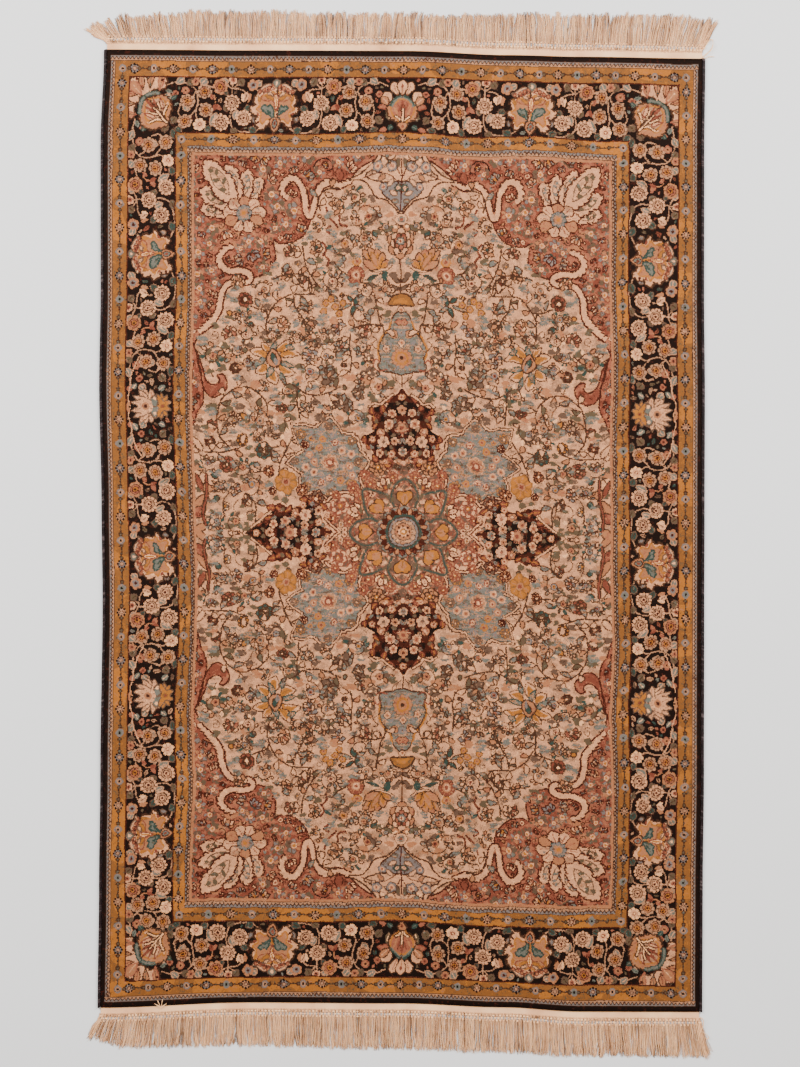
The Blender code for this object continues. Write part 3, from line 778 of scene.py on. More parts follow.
def spray(at):
    """The flowers between two large palmettes; s runs from one to the next, t from the inner edge out."""
    for path in ([(71, 40), (72, 22), (66, 8), (50, 2), (34, 3), (22, 9)], [(69, 80), (70, 70), (70, 60)],
            [(58, 80), (64, 74), (70, 70), (80, 76)], [(44, 50), (52, 66), (70, 70)],
            [(172, 74), (155, 79), (138, 76), (126, 66), (123, 50), (126, 30), (122, 18)],
            [(126, 66), (133, 52)], [(125, 36), (136, 24)], [(95, 22), (106, 30)],
            [(150, 44), (152, 30), (143, 22)], [(118, 80), (110, 74), (100, 70)]):
        ribbon([at(*p) for p in path], 1.8, SAND)
    for s, t, s2, t2, wide, colour in ((60, 84, 54, 74, 8, OLIVE), (80, 84, 84, 76, 7, MIST),
            (40, 42, 50, 34, 7, TEAL), (61, 36, 66, 22, 7, MIST), (94, 30, 102, 12, 7, MIST),
            (102, 4, 112, 9, 7, TEAL), (112, 84, 118, 74, 8, MIST), (138, 83, 132, 74, 8, OLIVE),
            (146, 84, 158, 76, 7, MIST), (142, 44, 138, 34, 7, MIST), (156, 24, 164, 14, 8, OLIVE),
            (30, 2, 42, 9, 8, TEAL), (60, 1, 70, 7, 7, OLIVE), (146, 2, 158, 6, 7, TEAL),
            (78, 34, 80, 46, 6, OLIVE), (24, 80, 34, 74, 7, MIST), (168, 60, 176, 50, 7, MIST),
            (82, 60, 78, 66, 5, TEAL)):
        leaf(at(s, t), at(s2, t2), wide + 3, colour, line=SAND if colour == MIST else TAUPE,
            rib=CREAM if colour == MIST else VINE)
    for s, t, radius in ((51, 24, 13), (70, 48, 13), (86, 17, 13.5)):
        round_flower(*at(s, t), radius, (CREAM, SAND, CREAM), 12, 4)
    for s, t, radius in ((113, 64, 12), (110, 36, 12), (139, 49, 12), (142, 18, 12)):
        round_flower(*at(s, t), radius, (SAND, PEACH, ORANGE), 8, 5)
    round_flower(*at(89, 72), 12.5, (PEACH, SALMON, ORANGE), 7, 6)
    x, y = at(119, 13)
    rosette(x, y, 9.5, 7, ((1, IVORY), (0.6, CREAM), (0.3, RUST), (0.15, IVORY)), notch=0.2, gap=TAUPE)
    for s, t, radius, petals, edge, core in ((69, 82, 6.5, 5, CREAM, SALMON), (127, 80, 6.5, 6, PEACH,
            SALMON), (143, 66, 6.5, 4, SALMON, PEACH), (38, 75, 9, 5, PEACH, LILAC),
            (160, 60, 5, 4, SALMON, RUST)):
        x, y = at(s, t)
        rosette(x, y, radius, petals, ((1, edge), (0.55, core), (0.25, MAROON)), notch=0.2, gap=TAUPE)
    leaves(at, (53, 49, 46, 64, 9, CREAM, None, TAUPE, 1.2), (45, 48, 42, 62, 6, PEACH, None, None, 1.2),
        (53, 49, 55, 62, 5, IVORY, None, None, 1.2))
    ribbon([at(98, 58), at(95, 52), at(95, 46)], 1.8, PEACH)
    leaves(at, (96, 44, 86, 36, 7, SALMON), (94, 46, 98, 34, 6, RUST), (99, 52, 104, 60, 6, SALMON, None,
        RUST))


def halves(at):
    """The two mirrored halves of a motif, each as the function that places its points."""
    return [lambda a, b, side=side: at(side * a, b) for side in (-1, 1)]


def palmette_open(at):
    """The broad peach palmette with a pair of slate wings."""
    for p in halves(at):
        leaves(p, (8, 76, 26, 66, 8, CREAM, TAUPE, MIST), (20, 62, 30, 68, 6, IVORY, TAUPE),
            (30, 22, 36, 20, 9, LILAC, TAUPE, None, 1.3))
        patch([p(0, 10), p(10, 16), p(20, 8), p(27, 12), p(30, 22), p(27, 28), p(34, 30), p(39, 39),
            p(31, 44), p(34, 52), p(29, 60), p(22, 62), p(14, 66), p(0, 70)], CREAM, line=VINE, tooth=2.4,
            pitch=7)
        patch([p(2, 20), p(12, 22), p(20, 16), p(24, 22), p(22, 32), p(30, 38), p(24, 44), p(26, 54),
            p(16, 60), p(2, 62)], PEACH, line=ORANGE)
        leaves(p, (24, 50, 27, 58, 4, ORANGE, GOLD), (24, 28, 30, 33, 4, RUST), (25, 20, 29, 16, 4, MAROON))
        patch([p(3, 26), p(9, 30), p(16, 34), p(21, 40), p(17, 44), p(12, 42), p(9, 44), p(5, 38)], MIST,
            line=TEAL, tooth=1.2, pitch=5)
        leaves(p, (6, 30, 14, 38, 3, TEAL), (3, 26, 7, 16, 5, MIST, TEAL))
        ribbon([p(1, 44), p(6, 50), p(16, 51), p(22, 57), p(16, 64), p(6, 68), p(0, 70)], 1.6, RUST)
        leaves(p, (3, 52, 16, 58, 5, ORANGE, GOLD, None, 1.1), (4, 58, 14, 64, 5, CREAM, TAUPE, None, 1.1))
        for k in range(4):
            leaf(p(4 + 6 * k, 70 - 2.2 * k), p(6 + 7 * k, 76 - 3.4 * k), 5, PEACH, line=RUST, blunt=1.5)
    leaves(at, (0, 62, 0, 36, 7, IVORY, RUST, ORANGE, 0.7), (0, 70, 0, 84, 13, MIST, TAUPE, None, 1.5),
        (0, 74, 0, 81, 5, IVORY, None, None, 1.5), (0, 25, 0, 2, 17, PEACH, VINE, None, 0.6),
        (0, 22, 0, 8, 9, MIST, MAROON, None, 0.8), (0, 19, 0, 12, 4, RUST))


def palmette_flame(at):
    """The tall palmette: three petals over a slate collar and a salmon flame."""
    for p in halves(at):
        leaves(p, (20, 18, 25, 34, 8, OLIVE, None, IVORY), (14, 10, 23, 5, 8, TEAL, None, MIST),
            (24, 6, 36, 2, 7, SALMON), (18, 42, 37, 40, 11, SALMON, RUST, None, 0.7),
            (16, 44, 28, 64, 17, CREAM, VINE, PEACH, 1.5), (18, 40, 33, 56, 12, PEACH, VINE, CREAM, 1.4),
            (6, 56, 15, 80, 15, CREAM, VINE, SALMON, 1.6))
        patch([p(0, 6), p(7, 16), p(18, 22), p(23, 34), p(19, 44), p(9, 52), p(0, 54)], PEACH, line=VINE,
            tooth=2.4, pitch=7)
        patch([p(0, 14), p(8, 20), p(15, 26), p(18, 36), p(14, 44), p(0, 50)], SALMON, line=ORANGE)
        ribbon([p(0, 59), p(7, 55), p(13, 49), p(18, 42)], 3.4, TEAL)
        ribbon([p(0, 56), p(7, 52), p(13, 46), p(16, 40)], 2.4, MIST)
        leaves(p, (2, 30, 8, 46, 4, RUST, None, None, 0.6), (8, 26, 14, 42, 4, PEACH, None, None, 0.6))
        ribbon([p(0, 16), p(5, 21), p(10, 24)], 1.8, IVORY, line=VINE)
    leaves(at, (0, 56, 0, 83, 17, CREAM, VINE, PEACH, 1.6), (0, 70, 0, 77, 4, RUST))
    ribbon([at(0, 12), at(0, 42)], 1.8, IVORY, line=VINE)
    leaves(at, (0, 36, 0, 52, 5, RUST, None, None, 0.6), (0, 16, 0, 1, 14, PEACH, VINE, None, 0.6),
        (0, 11, 0, 5, 4, RUST))


def palmette_star(at):
    """The pale double star flower of the long sides."""
    for p in halves(at):
        for a, b, a2, b2 in ((4, 44, 27, 52), (4, 42, 25, 62), (4, 42, 17, 72), (6, 38, 26, 40),
                (3, 44, 7, 76)):
            leaf(p(a, b), p(a2, b2), 10, CREAM, line=TAUPE, rib=PEACH, blunt=0.75)
        patch([p(0, 28), p(10, 28), p(17, 33), p(12, 40), p(0, 42)], MIST, line=TAUPE, tooth=1, pitch=5)
        leaf(p(9, 32), p(14, 36), 5, IVORY)
        for a, b in ((20, 22), (16, 10), (6, 4), (18, 30)):
            leaf(p(2, 20), p(a, b), 8, ORANGE, line=TAUPE, blunt=0.75)
        leaves(p, (24, 26, 31, 14, 9, MIST, None, IVORY), (24, 82, 33, 74, 8, SALMON),
            (26, 74, 36, 66, 8, MIST, None, IVORY))
        ribbon([p(2, 79), p(14, 82), p(28, 78), p(42, 76), p(60, 70), p(76, 60)], 1.4, CREAM)
        leaf(p(0, 84), p(9, 79), 5, PEACH)
    rosette(*at(0, 50), 12, 8, ((1, CREAM), (0.5, PEACH), (0.28, TAUPE), (0.2, MAROON)), notch=0.1,
        gap=TAUPE)
    rosette(*at(0, 19), 7, 8, ((1, ORANGE), (0.5, GOLD), (0.3, RUST)), notch=0.1)


def palmette_corner(at):
    """The fanned palmette that turns the border at a corner; b runs along the diagonal."""
    for p in halves(at):
        patch([p(0, 66), p(16, 64), p(34, 64), p(48, 50), p(46, 34), p(34, 24), p(20, 34), p(0, 40)], CREAM,
            line=VINE, tooth=3.0, pitch=8)
        leaves(p, (16, 38, 38, 56, 10, PEACH, VINE, TEAL, 1.3), (26, 26, 46, 40, 9, PEACH, SALMON, TAUPE,
            1.3), (6, 44, 20, 62, 10, PEACH, VINE, RUST, 1.4), (24, 50, 31, 57, 5, TEAL, VINE),
            (36, 34, 44, 33, 4, MAROON), (9, 60, 12, 66, 4, MAROON), (34, 20, 38, 10, 7, MIST, None, TEAL),
            (28, 4, 40, 2, 8, TEAL, None, MIST))
        patch([p(0, -16), p(12, -14), p(25, -6), p(30, 8), p(24, 20), p(13, 27), p(0, 31)], PEACH,
            line=VINE, tooth=3.0, pitch=8)
        patch([p(0, -8), p(9, -6), p(17, 2), p(20, 11), p(13, 21), p(0, 26)], SAND, line=ORANGE)
        leaf(p(16, -2), p(25, 6), 6, CREAM, line=ORANGE)
        ribbon([p(0, 35), p(9, 33), p(17, 28), p(21, 24)], 3.4, MIST, line=TEAL)
        leaves(p, (3, 6, 9, 26, 5, RUST, None, None, 0.6), (9, 2, 18, 18, 5, CREAM, RUST, None, 0.6))
        ribbon([p(0, -12), p(6, -4), p(13, -1), p(18, 1)], 2.2, IVORY, line=VINE)
        ribbon([p(1, 0), p(7, 8), p(10, 14)], 2.0, IVORY, line=VINE)
    leaf(at(0, 40), at(0, 66), 15, PEACH, line=SALMON, rib=CREAM, blunt=1.4)
    ribbon([at(0, -16), at(0, 20)], 1.8, IVORY, line=VINE)
    leaf(at(0, 14), at(0, 31), 5, RUST, blunt=0.6)


def paint_border():
    """Sets the palmettes in their places, a spray between each two, and leaves on the dark ground."""
    frame_band("border", "inner_guard", NIGHT)
    for sign in (-1, 1):
        for way, run in ((-1, 196), (1, 189)):
            spray(lambda s, t: (END_PALMETTE + way * s * run / DRAWN_RUN, sign * (END_EDGE + t)))
    for start, stop in ((416, 650), (416, 183), (-44, 183), (-44, -256), (-466, -256), (-466, -650)):
        spray(lambda s, t: (SIDE_EDGE + t * SIDE_DEPTH / DRAWN_DEPTH, start + s * (stop
            - start) / DRAWN_RUN))
    for sign in (-1, 1):
        palmette_open(lambda a, b: (END_PALMETTE + a, sign * (END_EDGE + b)))
        palmette_flame(lambda a, b: (a, sign * (END_EDGE + b)))
        palmette_corner(lambda a, b: (375 + (b - 4) * 0.70 + a * 0.66, sign * (631 + (b - 4) * 0.76 - a
            * 0.70)))
    for motif, centres in ((palmette_open, SIDE_PALMETTES), (palmette_star, SIDE_STARS)):
        for centre in centres:
            motif(lambda a, b: (SIDE_EDGE + b * SIDE_DEPTH / DRAWN_DEPTH, centre + a))
    ground = (chart == NIGHT) & within("border", -3) & ((ACROSS > SIDE_EDGE + 3) | (ALONG > END_EDGE + 3))
    for tries, seed, spread in ((6000, 2, (4.4, 6.0)), (12000, 3, (2.8, 4.4))):
        scatter(ground, ground_leaf, tries, seed, (NIGHT,), spread)


def ground_leaf(rng, x, y, size):
    """A small leaf or bud of the dark border ground."""
    turn, colour = rng.uniform(0, 6.28), rng.choice((OLIVE, MIST, TEAL, OLIVE, TAUPE, SAND, RUST, SALMON))
    leaf(around(x, y, -size, turn), around(x, y, size, turn), size * 1.15, colour,
        rib=VINE if size > 3.4 else None)


def zigzag(outer, inner):
    """The narrow barber stripe: a dark zigzag between a grey half and a pale one."""
    for side in (0, 1):
        deep = HALF[outer][side] - HALF[inner][side]
        along, across = ((ALONG, HALF[outer][0] - ACROSS), (ACROSS, HALF[outer][1] - ALONG))[side]
        band = (across >= 0) & (across < deep) & within(outer)
        tooth = np.abs((along / 6.0) % 1.0 - 0.5) * 2             # one tooth in six knots
        middle = deep * (0.28 + 0.44 * tooth)
        chart[band] = LILAC
        chart[band & (across > middle)] = SAND
        chart[band & (np.abs(across - middle) < 1.1)] = VINE
        chart[band & ((across < 1) | (across > deep - 1))] = VINE


def guard(outer, inner, side_pitch, end_pitch):
    """The gold guard stripe: a dark chain line with dot flowers, squares and small diamonds."""
    frame_band(outer, inner, GOLD)
    cx, cy = ((HALF[outer][k] + HALF[inner][k]) / 2 for k in (0, 1))
    for upright, fixed, end, pitch in ((True, cx, cy, side_pitch), (False, cy, cx, end_pitch),
            (False, -cy, cx, end_pitch)):
        def at(along, off):
            return (fixed + off, along) if upright else (along, fixed + off)
        for along in range(-int(end), int(end) + 1):
            for off in (0.5, 1.5, -0.5) if along % 7 < 3 else (0.5, -0.5):
                px, py = at(along + 0.5, off)
                if px >= 0:
                    chart[int(py) + MIDDLE, int(px)] = VINE if along % 4 else OLIVE
        count = max(1, round(2 * end / pitch))
        if not upright:
            count += count % 2
        moved = pitch / 4 if upright else 0
        for k in range(-count, count + 1):
            along = k * pitch / 2 + moved
            x, y = at(along, 0.5)
            if abs(along) > end - 15 or x < -6:
                continue
            if k % 2:
                rosette(x, y, 6.2, 4, ((1, LILAC), (0.6, SAND if k % 3 else MIST)), notch=0.14)
                dot(x, y, 2.0, NIGHT)
                continue
            for reach, start, size, colour in ((4.6, 22.5, 2.1, LILAC if k % 4 else SAND),
                    (6.0, 0, 1.7, NIGHT)):
                for j in range(8):
                    dot(*around(x, y, reach, math.radians(45 * j + start)), size, colour)
            rosette(x, y, 3.4, 1, ((1, MAROON), (0.72, SAND)), notch=0)
        for k in range(-2 * count, 2 * count + 1):
            along = (k + 0.5) * pitch / 4 + moved
            if abs(along) <= end - 10:
                rosette(*at(along, 0.5), 3.6, 4, ((1, VINE), (0.45, OLIVE)), notch=0.3,
                    turn=0 if k % 2 else 0.78)
    for y in (cy, -cy):
        rosette(cx, y, 6.2, 4, ((1, LILAC), (0.6, SAND), (0.3, NIGHT)), notch=0.14)


def paint_guards():
    """Draws the stripes to either side of the border, and the dark lines along it."""
    guard("guard", "border", 73.0, 59.0)
    guard("inner_guard", "inner_zigzag", 73.0, 65.0)
    frame_band("edge", "zigzag", NIGHT)
    zigzag("zigzag", "guard")
    zigzag("inner_zigzag", "line")
    frame_band("line", "field", PEACH)
    for a, b in (HALF["border"], HALF["inner_guard"]):
        beside, beyond = np.abs(ACROSS - a) < 0.9, np.abs(ALONG - b) < 0.9
        chart[(beside & (ALONG < b + 0.9)) | (beyond & (ACROSS < a + 0.9))] = MAROON


# Dyed silk is never even, and a knot here and there takes the next colour: each dye drifts to a
# darker and a paler neighbour in soft patches, and the edges of the drawing wander by a knot or two.
DRIFTS = {NIGHT: (NIGHT, MAROON), MAROON: (VINE, RUST), RUST: (MAROON, SALMON), SALMON: (RUST, PEACH),
    PEACH: (SALMON, SAND), CREAM: (SAND, IVORY), IVORY: (SAND, CREAM), SAND: (TAUPE, CREAM),
    GOLD: (OLIVE, ORANGE), ORANGE: (GOLD, PEACH), OLIVE: (TAUPE, MIST), TEAL: (OLIVE, MIST),
    MIST: (OLIVE, LILAC), LILAC: (TAUPE, SAND), TAUPE: (VINE, SAND), VINE: (MAROON, TAUPE)}
SLOW_SWAY, QUICK_SWAY = (110, 7), (12, 2.2)       # knots over which the drawing sways, and by how many
LOW_MIDDLE = 8.0                                  # knots by which the middle of the field sits low


def weave(plan):
    """The finished rug from its plan: shifted a little off square, drifting in colour, edges uneven."""
    rng = np.random.default_rng(4)
    rows, cols = np.meshgrid(np.arange(plan.shape[0]), np.arange(plan.shape[1]), indexing="ij")
    sway = []
    for _ in (rows, cols):
        slow, quick = ((soft_noise(plan.shape, (grain, grain), rng) - 0.5) * size for grain,
            size in (SLOW_SWAY, QUICK_SWAY))
        sway.append(slow + quick + rng.choice((-1, 0, 1), plan.shape, p=(0.06, 0.88, 0.06)))
    from_edge = np.minimum.reduce([rows, cols, plan.shape[0] - 1 - rows, plan.shape[1] - 1 - cols]) / 60
    sway = [s * np.clip(from_edge, 0.15, 1) for s in sway]
    sag = np.clip(1 - ((rows - MIDDLE) / HALF["field"][1]) ** 2, 0, 1)
    sway[0] = sway[0] + LOW_MIDDLE * sag * np.clip((340 - np.abs(cols - COLUMNS)) / 40, 0, 1)
    rows = np.clip(np.rint(rows + sway[0]).astype(int), 0, plan.shape[0] - 1)
    cols = np.clip(np.rint(cols + sway[1]).astype(int), 0, plan.shape[1] - 1)
    woven = plan[rows, cols]
    woven[(woven == GOLD) & (soft_noise(plan.shape, (26, 26), rng) > 0.62)] = ORANGE
    patchy = 0.62 * soft_noise(plan.shape, (4, 4), rng) + 0.38 * rng.random(plan.shape)
    done = woven.copy()
    for dye, (darker, paler) in DRIFTS.items():
        done[(woven == dye) & (patchy < 0.24)] = darker
        done[(woven == dye) & (patchy > 0.78)] = paler
    return done


ground = paint_corner()
paint_pendant()
paint_flowers()
paint_vines()
fill_field(ground, paint_medallion())
chart[:MIDDLE] = chart[MIDDLE:][::-1]
paint_border()
paint_guards()
knots = weave(np.hstack([chart[:, ::-1], chart]))        # the whole rug, row 0 at the bottom edge

# The pile is a closed slab, whose top and back are grids. A face covers 6 x 6 knots and carries their
# dyes as six numbers, one for each row, from which the material works out the dye of every knot.
BLOCK = 6
GRID_COLUMNS = [0, 1] + list(range(BLOCK, 2 * COLUMNS, BLOCK)) + [2 * COLUMNS - 1, 2 * COLUMNS]
GRID_ROWS = [0, 1] + list(range(BLOCK, ROWS, BLOCK)) + [ROWS - 1, ROWS]
JUST_INSIDE = 0.01                                        # keeps the last grid points in the last knot


def swell(x, y):
    """The slight unevenness of a rug that lies on a floor, 0.9 mm at most, nothing at its edges."""
    wave = math.sin(11 * x + 2.3 * math.sin(5 * y + 1)) * math.sin(8 * y + 1.7 * math.sin(7 * x + 2))
    near = max(0.0, min(1.0, (0.44 - abs(x)) / 0.08)) * max(0.0, min(1.0, (0.70 - abs(y)) / 0.08))
    return 0.45 * MM * (1 + wave) * near


def block_at(j, i):
    """The block of knots that starts at this row and column of the grid."""
    return min(GRID_ROWS[j], ROWS - 1) // BLOCK, min(GRID_COLUMNS[i], 2 * COLUMNS - 1) // BLOCK


def new_mesh(name, points, faces=()):
    """A smooth-shaded mesh from its points and faces."""
    mesh = bpy.data.meshes.new(name)
    mesh.from_pydata(points, [], faces)
    mesh.polygons.foreach_set("use_smooth", [True] * len(faces))
    return mesh


def set_values(mesh, name, values, kind="FLOAT", domain="POINT"):
    """Stores a number or a vector under that name at each point or face."""
    made = mesh.attributes.new(name, kind, domain)
    made.data.foreach_set("value" if kind == "FLOAT" else "vector", values)


def make_body():
    """The pile's slab, with the chart in its faces."""
    across, along = len(GRID_COLUMNS), len(GRID_ROWS)
    points, places = [], []
    for top in (True, False):
        for j, row in enumerate(GRID_ROWS):
            for i, col in enumerate(GRID_COLUMNS):
                x, y = on_rug(col / COLUMNS - 1, row / MIDDLE - 1)
                rim = i in (0, across - 1) or j in (0, along - 1)
                z = (PILE_THICKNESS - (PILE_EDGE if rim else 0)) if top else (BACK_RIM if rim else 0.0)
                points.append((x, y, z + swell(x, y)))
                places.append((min(col, 2 * COLUMNS - JUST_INSIDE), min(row, ROWS - JUST_INSIDE),
                               0.0 if top else 1.0))
    faces, blocks = [], []
    back = across * along
    for j in range(along - 1):
        for i in range(across - 1):
            a = j * across + i
            faces.append((a, a + 1, a + across + 1, a + across))
            faces.append((back + a, back + a + across, back + a + across + 1, back + a + 1))
            blocks += [block_at(j, i)] * 2
    for i in range(across - 1):
        low, high = i, (along - 1) * across + i
        faces.append((low, back + low, back + low + 1, low + 1))
        faces.append((high + 1, back + high + 1, back + high, high))
        blocks += [block_at(0, i), block_at(-1, i)]
    for j in range(along - 1):
        left, right = j * across, j * across + across - 1
        faces.append((left + across, back + left + across, back + left, left))
        faces.append((right, back + right, back + right + across, right + across))
        blocks += [block_at(j, 0), block_at(j, -1)]
    mesh = new_mesh("knotted_pile", points, faces)
    set_values(mesh, "knot", np.array(places, dtype=np.float32).ravel(), "FLOAT_VECTOR")
    digits = knots.reshape(ROWS // BLOCK, BLOCK, 2 * COLUMNS // BLOCK, BLOCK).transpose(0, 2, 1, 3)
    packed = (digits.astype(np.int64) * len(PALETTE) ** np.arange(BLOCK)).sum(axis=3)
    block_rows, block_columns = np.array(blocks).T
    per_face = packed[block_rows, block_columns].astype(np.float32)
    set_values(mesh, "rows_low", per_face[:, :3].ravel(), "FLOAT_VECTOR", "FACE")
    set_values(mesh, "rows_high", per_face[:, 3:].ravel(), "FLOAT_VECTOR", "FACE")
    return add_object("knotted_pile", mesh)


pile = make_body()


def srgb(code):
    """An sRGB hex colour as the linear colour that a shader takes."""
    parts = [int(code[k:k + 2], 16) / 255 for k in (1, 3, 5)]
    return tuple(c / 12.92 if c <= 0.04045 else ((c + 0.055) / 1.055) ** 2.4 for c in parts) + (1.0,)


def plug(tree, node, inputs):
    """Sets a node's inputs, given in order or by name, to values, or links them to outputs or nodes."""
    for socket, value in inputs.items() if isinstance(inputs, dict) else enumerate(inputs):
        if isinstance(value, bpy.types.Node):
            value = value.outputs[0]
        if isinstance(value, bpy.types.NodeSocket):
            tree.links.new(value, node.inputs[socket])
        else:
            node.inputs[socket].default_value = value


def add_node(tree, kind, inputs=(), **settings):
    """Adds a node with its settings and its inputs."""
    made = tree.nodes.new(kind)
    for name, value in settings.items():
        setattr(made, name, value)
    plug(tree, made, inputs)
    return made


def new_material(name):
    """A material with its shader, ready for its nodes."""
    material = bpy.data.materials.new(name)
    material.use_nodes = True
    tree = material.node_tree
    return material, tree, tree.nodes["Principled BSDF"]


def set_ramp(ramp, stops):
    """Gives a colour ramp its places and colours."""
    elements = ramp.color_ramp.elements
    while len(elements) < len(stops):
        elements.new(0.99)
    for k, (place, code) in enumerate(stops):
        elements[k].position = place
        elements[k].color = srgb(code)


MATH, VECTOR_MATH, NOISE = "ShaderNodeMath", "ShaderNodeVectorMath", "ShaderNodeTexNoise"
MAP_RANGE = "ShaderNodeMapRange"                          # a value, from low and high, to low and high
ATTRIBUTE, COMBINE, SPLIT = "ShaderNodeAttribute", "ShaderNodeCombineXYZ", "ShaderNodeSeparateXYZ"

# Sheared silk pile: dyed silk knots with a soft sheen, each knot a touch lighter or darker than the
# next, and slow changes of shade along the rows where a new batch of yarn was started. The light and
# shade of the leaning nap is painted into the colour too: in soft clouds, and darker towards the bottom.
silk_pile, tree, shader = new_material("silk_pile")
place = add_node(tree, ATTRIBUTE, attribute_name="knot").outputs["Vector"]
apart = add_node(tree, SPLIT, (place,))
column, row = (add_node(tree, MATH, (apart.outputs[k],), operation="FLOOR") for k in (0, 1))
# the dye: the knot's own row of the face is picked out, then its own digit of that row's number
row_numbers = [add_node(tree, ATTRIBUTE, attribute_name=name).outputs["Vector"]
               for name in ("rows_low", "rows_high")]
shifts = [tuple(float(len(PALETTE)) ** -k for k in range(start, start + 3)) for start in (0, 3)]
found = []
for whole, numbers in ((row, row_numbers), (column, shifts)):
    inner = add_node(tree, MATH, (whole, float(BLOCK)), operation="MODULO")
    flags = [add_node(tree, MATH, (inner, float(k), 0.1), operation="COMPARE") for k in range(BLOCK)]
    products = []
    for start, three in zip((0, 3), numbers):
        pick = add_node(tree, COMBINE, flags[start:start + 3])
        product = add_node(tree, VECTOR_MATH, (pick, three), operation="DOT_PRODUCT")
        products.append(product.outputs["Value"])
    found.append(add_node(tree, MATH, products, operation="ADD"))
moved = add_node(tree, MATH, found, operation="MULTIPLY")
whole_part = add_node(tree, MATH, (moved,), operation="FLOOR")
dye = add_node(tree, MATH, (whole_part, float(len(PALETTE))), operation="MODULO")
dye_place = add_node(tree, MATH, (dye, 1 / len(PALETTE), 0.5 / len(PALETTE)), operation="MULTIPLY_ADD")
dyes = add_node(tree, "ShaderNodeValToRGB", (dye_place,))
dyes.color_ramp.interpolation = "CONSTANT"
set_ramp(dyes, [(k / len(PALETTE), code) for k, code in enumerate(PALETTE.values())])
# its tone: uneven from knot to knot and in bands along the rows; painted nap shade in clouds, and
# painted shade that grows darker towards the bottom
tied = add_node(tree, COMBINE, (column, row))
single = add_node(tree, "ShaderNodeTexWhiteNoise", {"Vector": tied}, noise_dimensions="2D")
stretched = add_node(tree, VECTOR_MATH, (place, (0.0016, 0.021, 0.0)), operation="MULTIPLY")
abrash = add_node(tree, NOISE, {"Vector": stretched, "Scale": 1.0, "Detail": 3.0})
cloudy = add_node(tree, NOISE, {"Vector": place, "Scale": 0.03, "Detail": 4.0})
tone = None
# the last two are painted light and shade of the nap: clouds, and rows darker towards the bottom edge
for source, low, high, deepest, palest in ((single, 0.0, 1.0, 0.88, 1.10), (abrash, 0.3, 0.7, 0.93, 1.07),
                                           (cloudy, 0.3, 0.7, 0.92, 1.06),
                                           (apart.outputs[1], 0.0, float(ROWS), 0.87, 0.99)):
    share = add_node(tree, MAP_RANGE, (source, low, high, deepest, palest))
    tone = add_node(tree, MATH, (tone, share), operation="MULTIPLY") if tone else share
dyed = add_node(tree, VECTOR_MATH, {0: dyes, "Scale": tone}, operation="SCALE")
# the relief: each knot is a small hump, half a knot from its middle to its edge, with fibres on it
humps = []
for k in (0, 1):
    part = add_node(tree, MATH, (apart.outputs[k],), operation="FRACT")
    aside = add_node(tree, MATH, (part, 0.5), operation="SUBTRACT")
    humps.append(add_node(tree, MATH, (aside, aside), operation="MULTIPLY"))
both = add_node(tree, MATH, humps, operation="ADD")
fibre = add_node(tree, NOISE, {"Vector": place, "Scale": 2.2, "Detail": 2.0})
relief = add_node(tree, MATH, (both, -1.6, fibre), operation="MULTIPLY_ADD")
plug(tree, shader, {
    "Base Color": dyed,
    "Normal": add_node(tree, "ShaderNodeBump", {"Height": relief, "Strength": 0.5, "Distance": 0.4 * MM}),
    "Roughness": add_node(tree, MAP_RANGE, (cloudy, 0.0, 1.0, 0.5, 0.66)),
    "Sheen Weight": 0.15, "Sheen Roughness": 0.35, "Sheen Tint": srgb("#b98a66"),
    "Specular IOR Level": 0.12, "Specular Tint": srgb("#ffc9ae")})
pile.data.materials.append(silk_pile)

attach(pile, "root")
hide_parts("knotted_body")

# ---------------------------------------------------------------- the side cords
# Along each side the outer warps are bound into one firm round cord, 4.6 mm thick, with a dark silk
# yarn wound over and over. The wraps lie close together, a little slanted, and some stand proud.
CORD_RADIUS, PIECE_GAP = 2.3 * MM, 0.3 * MM
WRAP_SPACING, WRAP_DEPTH, WRAP_SLANT = 1.5 * MM, 0.16, 0.35
CORD_POINTS = 60


def new_tree(name, **sockets):
    """A geometry tree with its geometry sockets and its named inputs, each given as a socket type."""
    tree = bpy.data.node_groups.new(name, "GeometryNodeTree")
    tree.interface.new_socket("Geometry", in_out="OUTPUT", socket_type="NodeSocketGeometry")
    tree.interface.new_socket("Geometry", in_out="INPUT", socket_type="NodeSocketGeometry")
    for socket, kind in sockets.items():
        tree.interface.new_socket(socket, in_out="INPUT", socket_type="NodeSocket" + kind)
    return tree, tree.nodes.new("NodeGroupInput").outputs


def end_tree(tree, geometry, material):
    """Ends a geometry tree in plain geometry with its material."""
    plain = add_node(tree, REALIZE, (geometry,))
    dressed = add_node(tree, "GeometryNodeSetMaterial", {"Geometry": plain, "Material": material})
    add_node(tree, "NodeGroupOutput", (dressed,))


def finished_mesh(name, made):
    """The plain mesh of an object with its modifier or its bevel applied; the object itself goes."""
    mesh = bpy.data.meshes.new_from_object(made.evaluated_get(bpy.context.evaluated_depsgraph_get()))
    mesh.name = name
    bpy.data.objects.remove(made)
    return mesh


def grow(name, seed_data, tree, **inputs):
    """Runs a geometry tree on a mesh or a curve, and leaves a plain mesh object of that name."""
    seed_object = add_object(name + "_seed", seed_data)
    modifier = seed_object.modifiers.new(tree.name, "NODES")
    modifier.node_group = tree
    for item in tree.interface.items_tree:
        if item.name in inputs:
            modifier[item.identifier] = inputs[item.name]
    return add_object(name, finished_mesh(name, seed_object))


def new_line(name):
    """An empty curve in space."""
    line = bpy.data.curves.new(name, "CURVE")
    line.dimensions = "3D"
    return line


